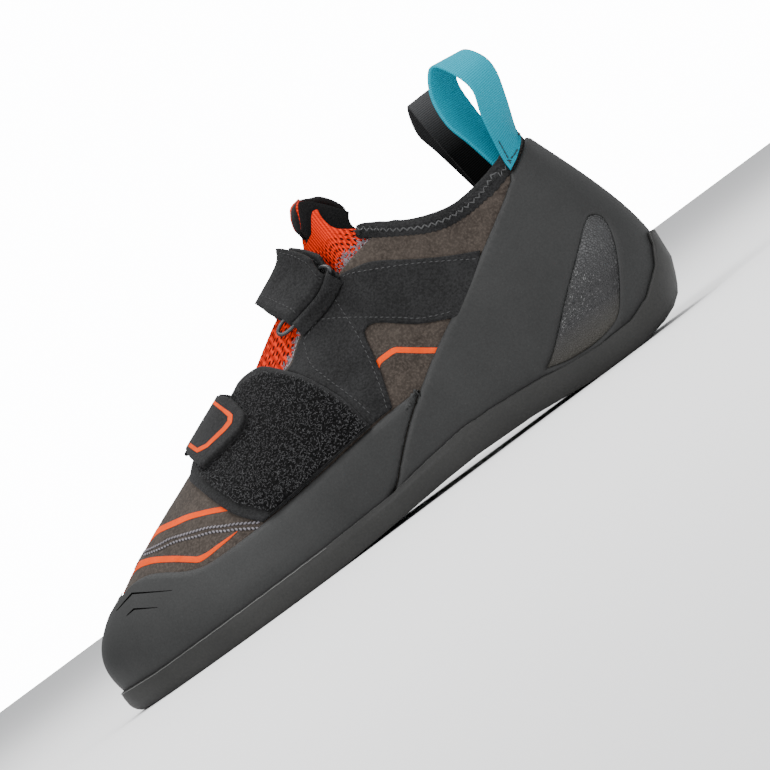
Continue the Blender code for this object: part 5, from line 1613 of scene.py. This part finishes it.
LINING_EDGE = [(161.2, 107.6, 0.4), (160.2, 111.0, -1.2), (160.9, 114.2, -1.4), (162.3, 117.0, -0.6),
               (164.1, 119.1, 1.6), (168.0, 120.1, 5.4)]

# Frayed yarn at the throat, each line with the height of its fringe, and the zigzag seam over it.
YARN_LINES = [([(162.0, 88.0), (168, 89.6), (175.8, 91.4), (181.0, 92.8)], 3.4),
              ([(125.4, 72.6), (129, 73.2), (133.5, 76.6), (137.0, 79.4)], 3.2)]
THROAT_SEAMS = [[(164.0, 88.8), (168, 89.9), (175.8, 91.7), (181.0, 93.0)],
                [(126.2, 73.6), (129, 73.8), (133.5, 77.2), (137.0, 80.0)]]
YARN_ENDS = 230
YARN_SEED = 7


def build_tongue():
    """Knit tongue with its lining colour on the inner face."""
    start, leaves = crown_place(TONGUE_START), crown_place(TONGUE_LEAVES)
    low = drawn(TONGUE_LOW)
    far_edge = over_ridge(drawn(TONGUE_FAR))
    ridge_end = RIDGE_END * S_STEP
    peak = [(s, V_TOP + 0.05) for s in np.arange(leaves[0] + 0.5, ridge_end + S_STEP, 1.0)]
    outline = loop_of([start], low, drawn(TONGUE_NEAR), [leaves], peak, far_edge[::-1], over_ridge(low[::-1]))
    bm = cut_grid(plate(outline), 1.5, 1.5, [(1, V_TOP, V_TOP + 0.01, 1.0)])
    for face in bm.faces:
        face.material_index = int(max(v.co.z for v in face.verts) < 1e-6)
    lay(bm, TONGUE_OUT - TONGUE, TONGUE)
    tongue = piece("knit_tongue", bm, KNIT, ["tongue"])
    tongue.data.materials.append(LINING)


def build_tongue_lining():
    """Soft black lining that curls over the tongue's tip, and the knit that shows along its edge."""
    rows = []
    for low, middle, high in LINING_ROWS:
        ends = [np.array(p, float) - (TOE_PLANE + HEEL_SPOT, 0, 0) for p in (low, middle, high)]
        ends = [np.array((p[0], p[2], p[1])) * MM for p in ends]
        rows.append([ends[0], (ends[0] * 3 + ends[1]) / 4 + (ends[1] - ends[0]) * 0.25, ends[1],
                     (ends[1] + ends[2]) / 2, ends[2]])
    bm = band(rows, 1.6, rim=((0.4, 0.3), (0.5, 0.15)), cell=1.0)[0]
    piece("tongue_soft_lining", bm, LINING, ["tongue_lining"])
    edge = [np.array((x - TOE_PLANE - HEEL_SPOT - 0.35, y + 0.55, z + 0.3)) * MM for x, z, y in LINING_EDGE]
    tube_piece("tongue_edge_knit", curve_rows(np.array(edge), 6), 0.5, KNIT_EDGE)


def build_throat_threads():
    """Loose yarn ends along the throat and the zigzag seam over them."""
    rng = np.random.default_rng(YARN_SEED)
    places = []
    for drawn_line, tall in YARN_LINES:
        line = np.array(drawn(drawn_line))
        for _ in range(YARN_ENDS):
            s, v = line[rng.integers(len(line))]
            lift = abs(rng.normal(0.0, 0.45))
            place = on_last(s + rng.normal(0, 0.8), v + min(lift, 1.0) * tall, TONGUE_OUT + 0.25)
            up = normal_at(s, v)
            places.append(stand(place, np.cross(up, rng.normal(size=3)), up))
    piece("throat_yarn", scatter(bead_mesh(1.5, 0.15), places), LILAC_THREAD)
    places = []
    for seam in THROAT_SEAMS:
        for line in (drawn(seam), over_ridge(drawn(seam))):
            places += stitch_places(line, TONGUE_OUT + 0.55, 0.95, lean=1.1)
    piece("throat_zigzag", scatter(bead_mesh(1.7, 0.14), places), WHITE_THREAD)




# Rows of the two pull loops: on the binding's outer face at its foot and at the collar, free in the air
# as pairs of x, y and height, and inside the collar.
BLUE_FOOT = ((236.8, 81.0), (248.0, 89.0))
BLUE_COLLAR = ((237.2, 87.6), (248.4, 93.2))
BLUE_FREE = [((240, -27.5, 103), (252, -14, 104)), ((243, -28, 113), (255, -16, 115)),
             ((241, -26, 122), (254, -15, 122.5)), ((236, -20, 129.3), (249, -11, 128)),
             ((230, -16, 121), (242, -8, 121)), ((228.5, -16.5, 109), (241, -8, 108)),
             ((231, -18, 98), (241.5, -11, 98))]
BLUE_INSIDE = [((233.5, 84), (242.8, 87))]
GREY_FOOT = ((225.5, 79.0), (238.5, 82.0))
GREY_COLLAR = ((225.0, 84.0), (238.3, 87.0))
GREY_FREE = [((221.5, 31, 104), (235, 28, 105)), ((219.3, 29, 115), (233.5, 27, 116.5)),
             ((222, 22, 124.8), (236, 21, 125)), ((222.5, 17, 116), (236, 16, 116)),
             ((223.5, 18, 103), (236, 16, 103))]
GREY_INSIDE = [((226, 81), (237.5, 83.5))]


def loop_rows(side, base, crown, free, inner_rows):
    """Control rows of a pull loop from its outer end over the top to its inner end."""
    def laid_row(ends, offset):
        a, b = trace(ends, offset)
        if side == FAR:
            a, b = over_ridge([a, b])
        return row_on_last(a, b, offset, 5)

    def free_row(ends):
        a, b = (np.array((x - TOE_PLANE - HEEL_SPOT, y, z)) * MM for x, y, z in ends)
        return np.array([a + (b - a) * t for t in np.linspace(0, 1, 5)])

    outer = BINDING - WALL - GAP + WEB / 2 + 3 * GAP
    inner = -(WALL + 2 * GAP) - WEB / 2 - GAP
    rows = [laid_row(base, outer), laid_row(crown, outer)] + [free_row(ends) for ends in free]
    return rows + [laid_row(ends, inner) for ends in inner_rows]


def build_pull_loops():
    """Blue and grey webbing loops at the heel, and the stitches at the blue one's foot."""
    rows = loop_rows(NEAR, BLUE_FOOT, BLUE_COLLAR, BLUE_FREE, BLUE_INSIDE)
    bm, (wide, _), surface = band(rows, WEB, cell=1.2)
    piece("blue_pull_loop", bm, BLUE, ["outer_pull_loop"])
    lines = [[(1.4, 11.0), (1.4, 3.0), (7.0, 1.2)], [(1.4, 3.6), (1.1, 0.6)],
             [(wide - 1.5, 1.5), (wide - 1.5, 9.5)]]
    places = []
    for line in lines:
        for side in (-1, 1):
            places += stitch_places(line, side * (WEB / 2 + 0.05), 1.9, surface)
    piece("blue_loop_stitches", scatter(bead_mesh(2.0, 0.3), places), THREAD)
    rows = loop_rows(FAR, GREY_FOOT, GREY_COLLAR, GREY_FREE, GREY_INSIDE)
    piece("grey_pull_loop", band(rows, WEB, cell=1.2)[0], GREY, ["inner_pull_loop"])


# Floor, light and camera.

SHOE_MIDDLE = (-0.08, 0, 0.05)


def build_stage():
    """Pale floor."""
    bm = bmesh.new()
    bmesh.ops.create_grid(bm, x_segments=2, y_segments=2, size=4.0)
    mesh = bpy.data.meshes.new("floor")
    bm.to_mesh(mesh)
    bm.free()
    floor = bpy.data.objects.new("floor", mesh)
    bpy.context.scene.collection.objects.link(floor)
    material, tree, shader = start_material("floor", (0.86, 0.86, 0.86), 0.9)
    cloud = group(tree, GRAIN, Vector=place_of(tree), Grain_Size=5.0, Cloud_Size=400.0)
    tree.links.new(mixed(tree, cloud.outputs["Cloud"], (0.85, 0.85, 0.85, 1), (0.87, 0.87, 0.87, 1)),
                   shader.inputs["Base Color"])
    mesh.materials.append(material)


def area_light(name, place, aim, size, power):
    data = bpy.data.lights.new(name, "AREA")
    data.shape = "DISK"
    data.size = size
    data.energy = power
    lamp = bpy.data.objects.new(name, data)
    lamp.location = place
    lamp.rotation_euler = (Vector(aim) - Vector(place)).to_track_quat("-Z", "Y").to_euler()
    bpy.context.scene.collection.objects.link(lamp)


def build_light():
    """Soft studio light, with a white ground for the camera."""
    world = bpy.data.worlds.new("studio")
    bpy.context.scene.world = world
    world.use_nodes = True
    tree = world.node_tree
    sky = tree.nodes["Background"]
    sky.inputs["Color"].default_value = (0.97, 0.98, 1.0, 1.0)
    seen = node(tree, "ShaderNodeLightPath").outputs["Is Camera Ray"]
    power = math_node(tree, "ADD", 0.8, math_node(tree, "MULTIPLY", seen, 14.0))
    tree.links.new(power, sky.inputs["Strength"])
    area_light("key", (-0.7, -1.0, 1.2), SHOE_MIDDLE, 0.9, 25.0)
    area_light("fill", (0.9, -0.9, 0.7), SHOE_MIDDLE, 1.2, 9.5)
    area_light("top", (0.0, 0.2, 1.4), SHOE_MIDDLE, 1.0, 20.0)


def build_camera():
    """Camera at the photo's angle, rolled because the shoe stands level here."""
    data = bpy.data.cameras.new("camera")
    data.sensor_width = 36.0
    data.lens = 198.8
    data.clip_start = 0.05
    camera = bpy.data.objects.new("camera", data)
    camera.location = (-0.0757, -1.6, 0.0448)
    tilt = Matrix.Rotation(math.radians(90), 4, "X") @ Matrix.Rotation(math.radians(-36.5), 4, "Z")
    camera.rotation_euler = tilt.to_euler()
    bpy.context.scene.collection.objects.link(camera)
    bpy.context.scene.camera = camera


build_camera()
build_upper()
build_toe_rand()
build_heel_rand()
build_sole()
build_insole()
build_binding()
build_overlays()
build_seams()
build_prints()
build_lower_strap()
build_lower_closure()
build_upper_strap()
build_upper_closure()
build_tongue()
build_tongue_lining()
build_throat_threads()
build_pull_loops()
build_stage()
build_light()
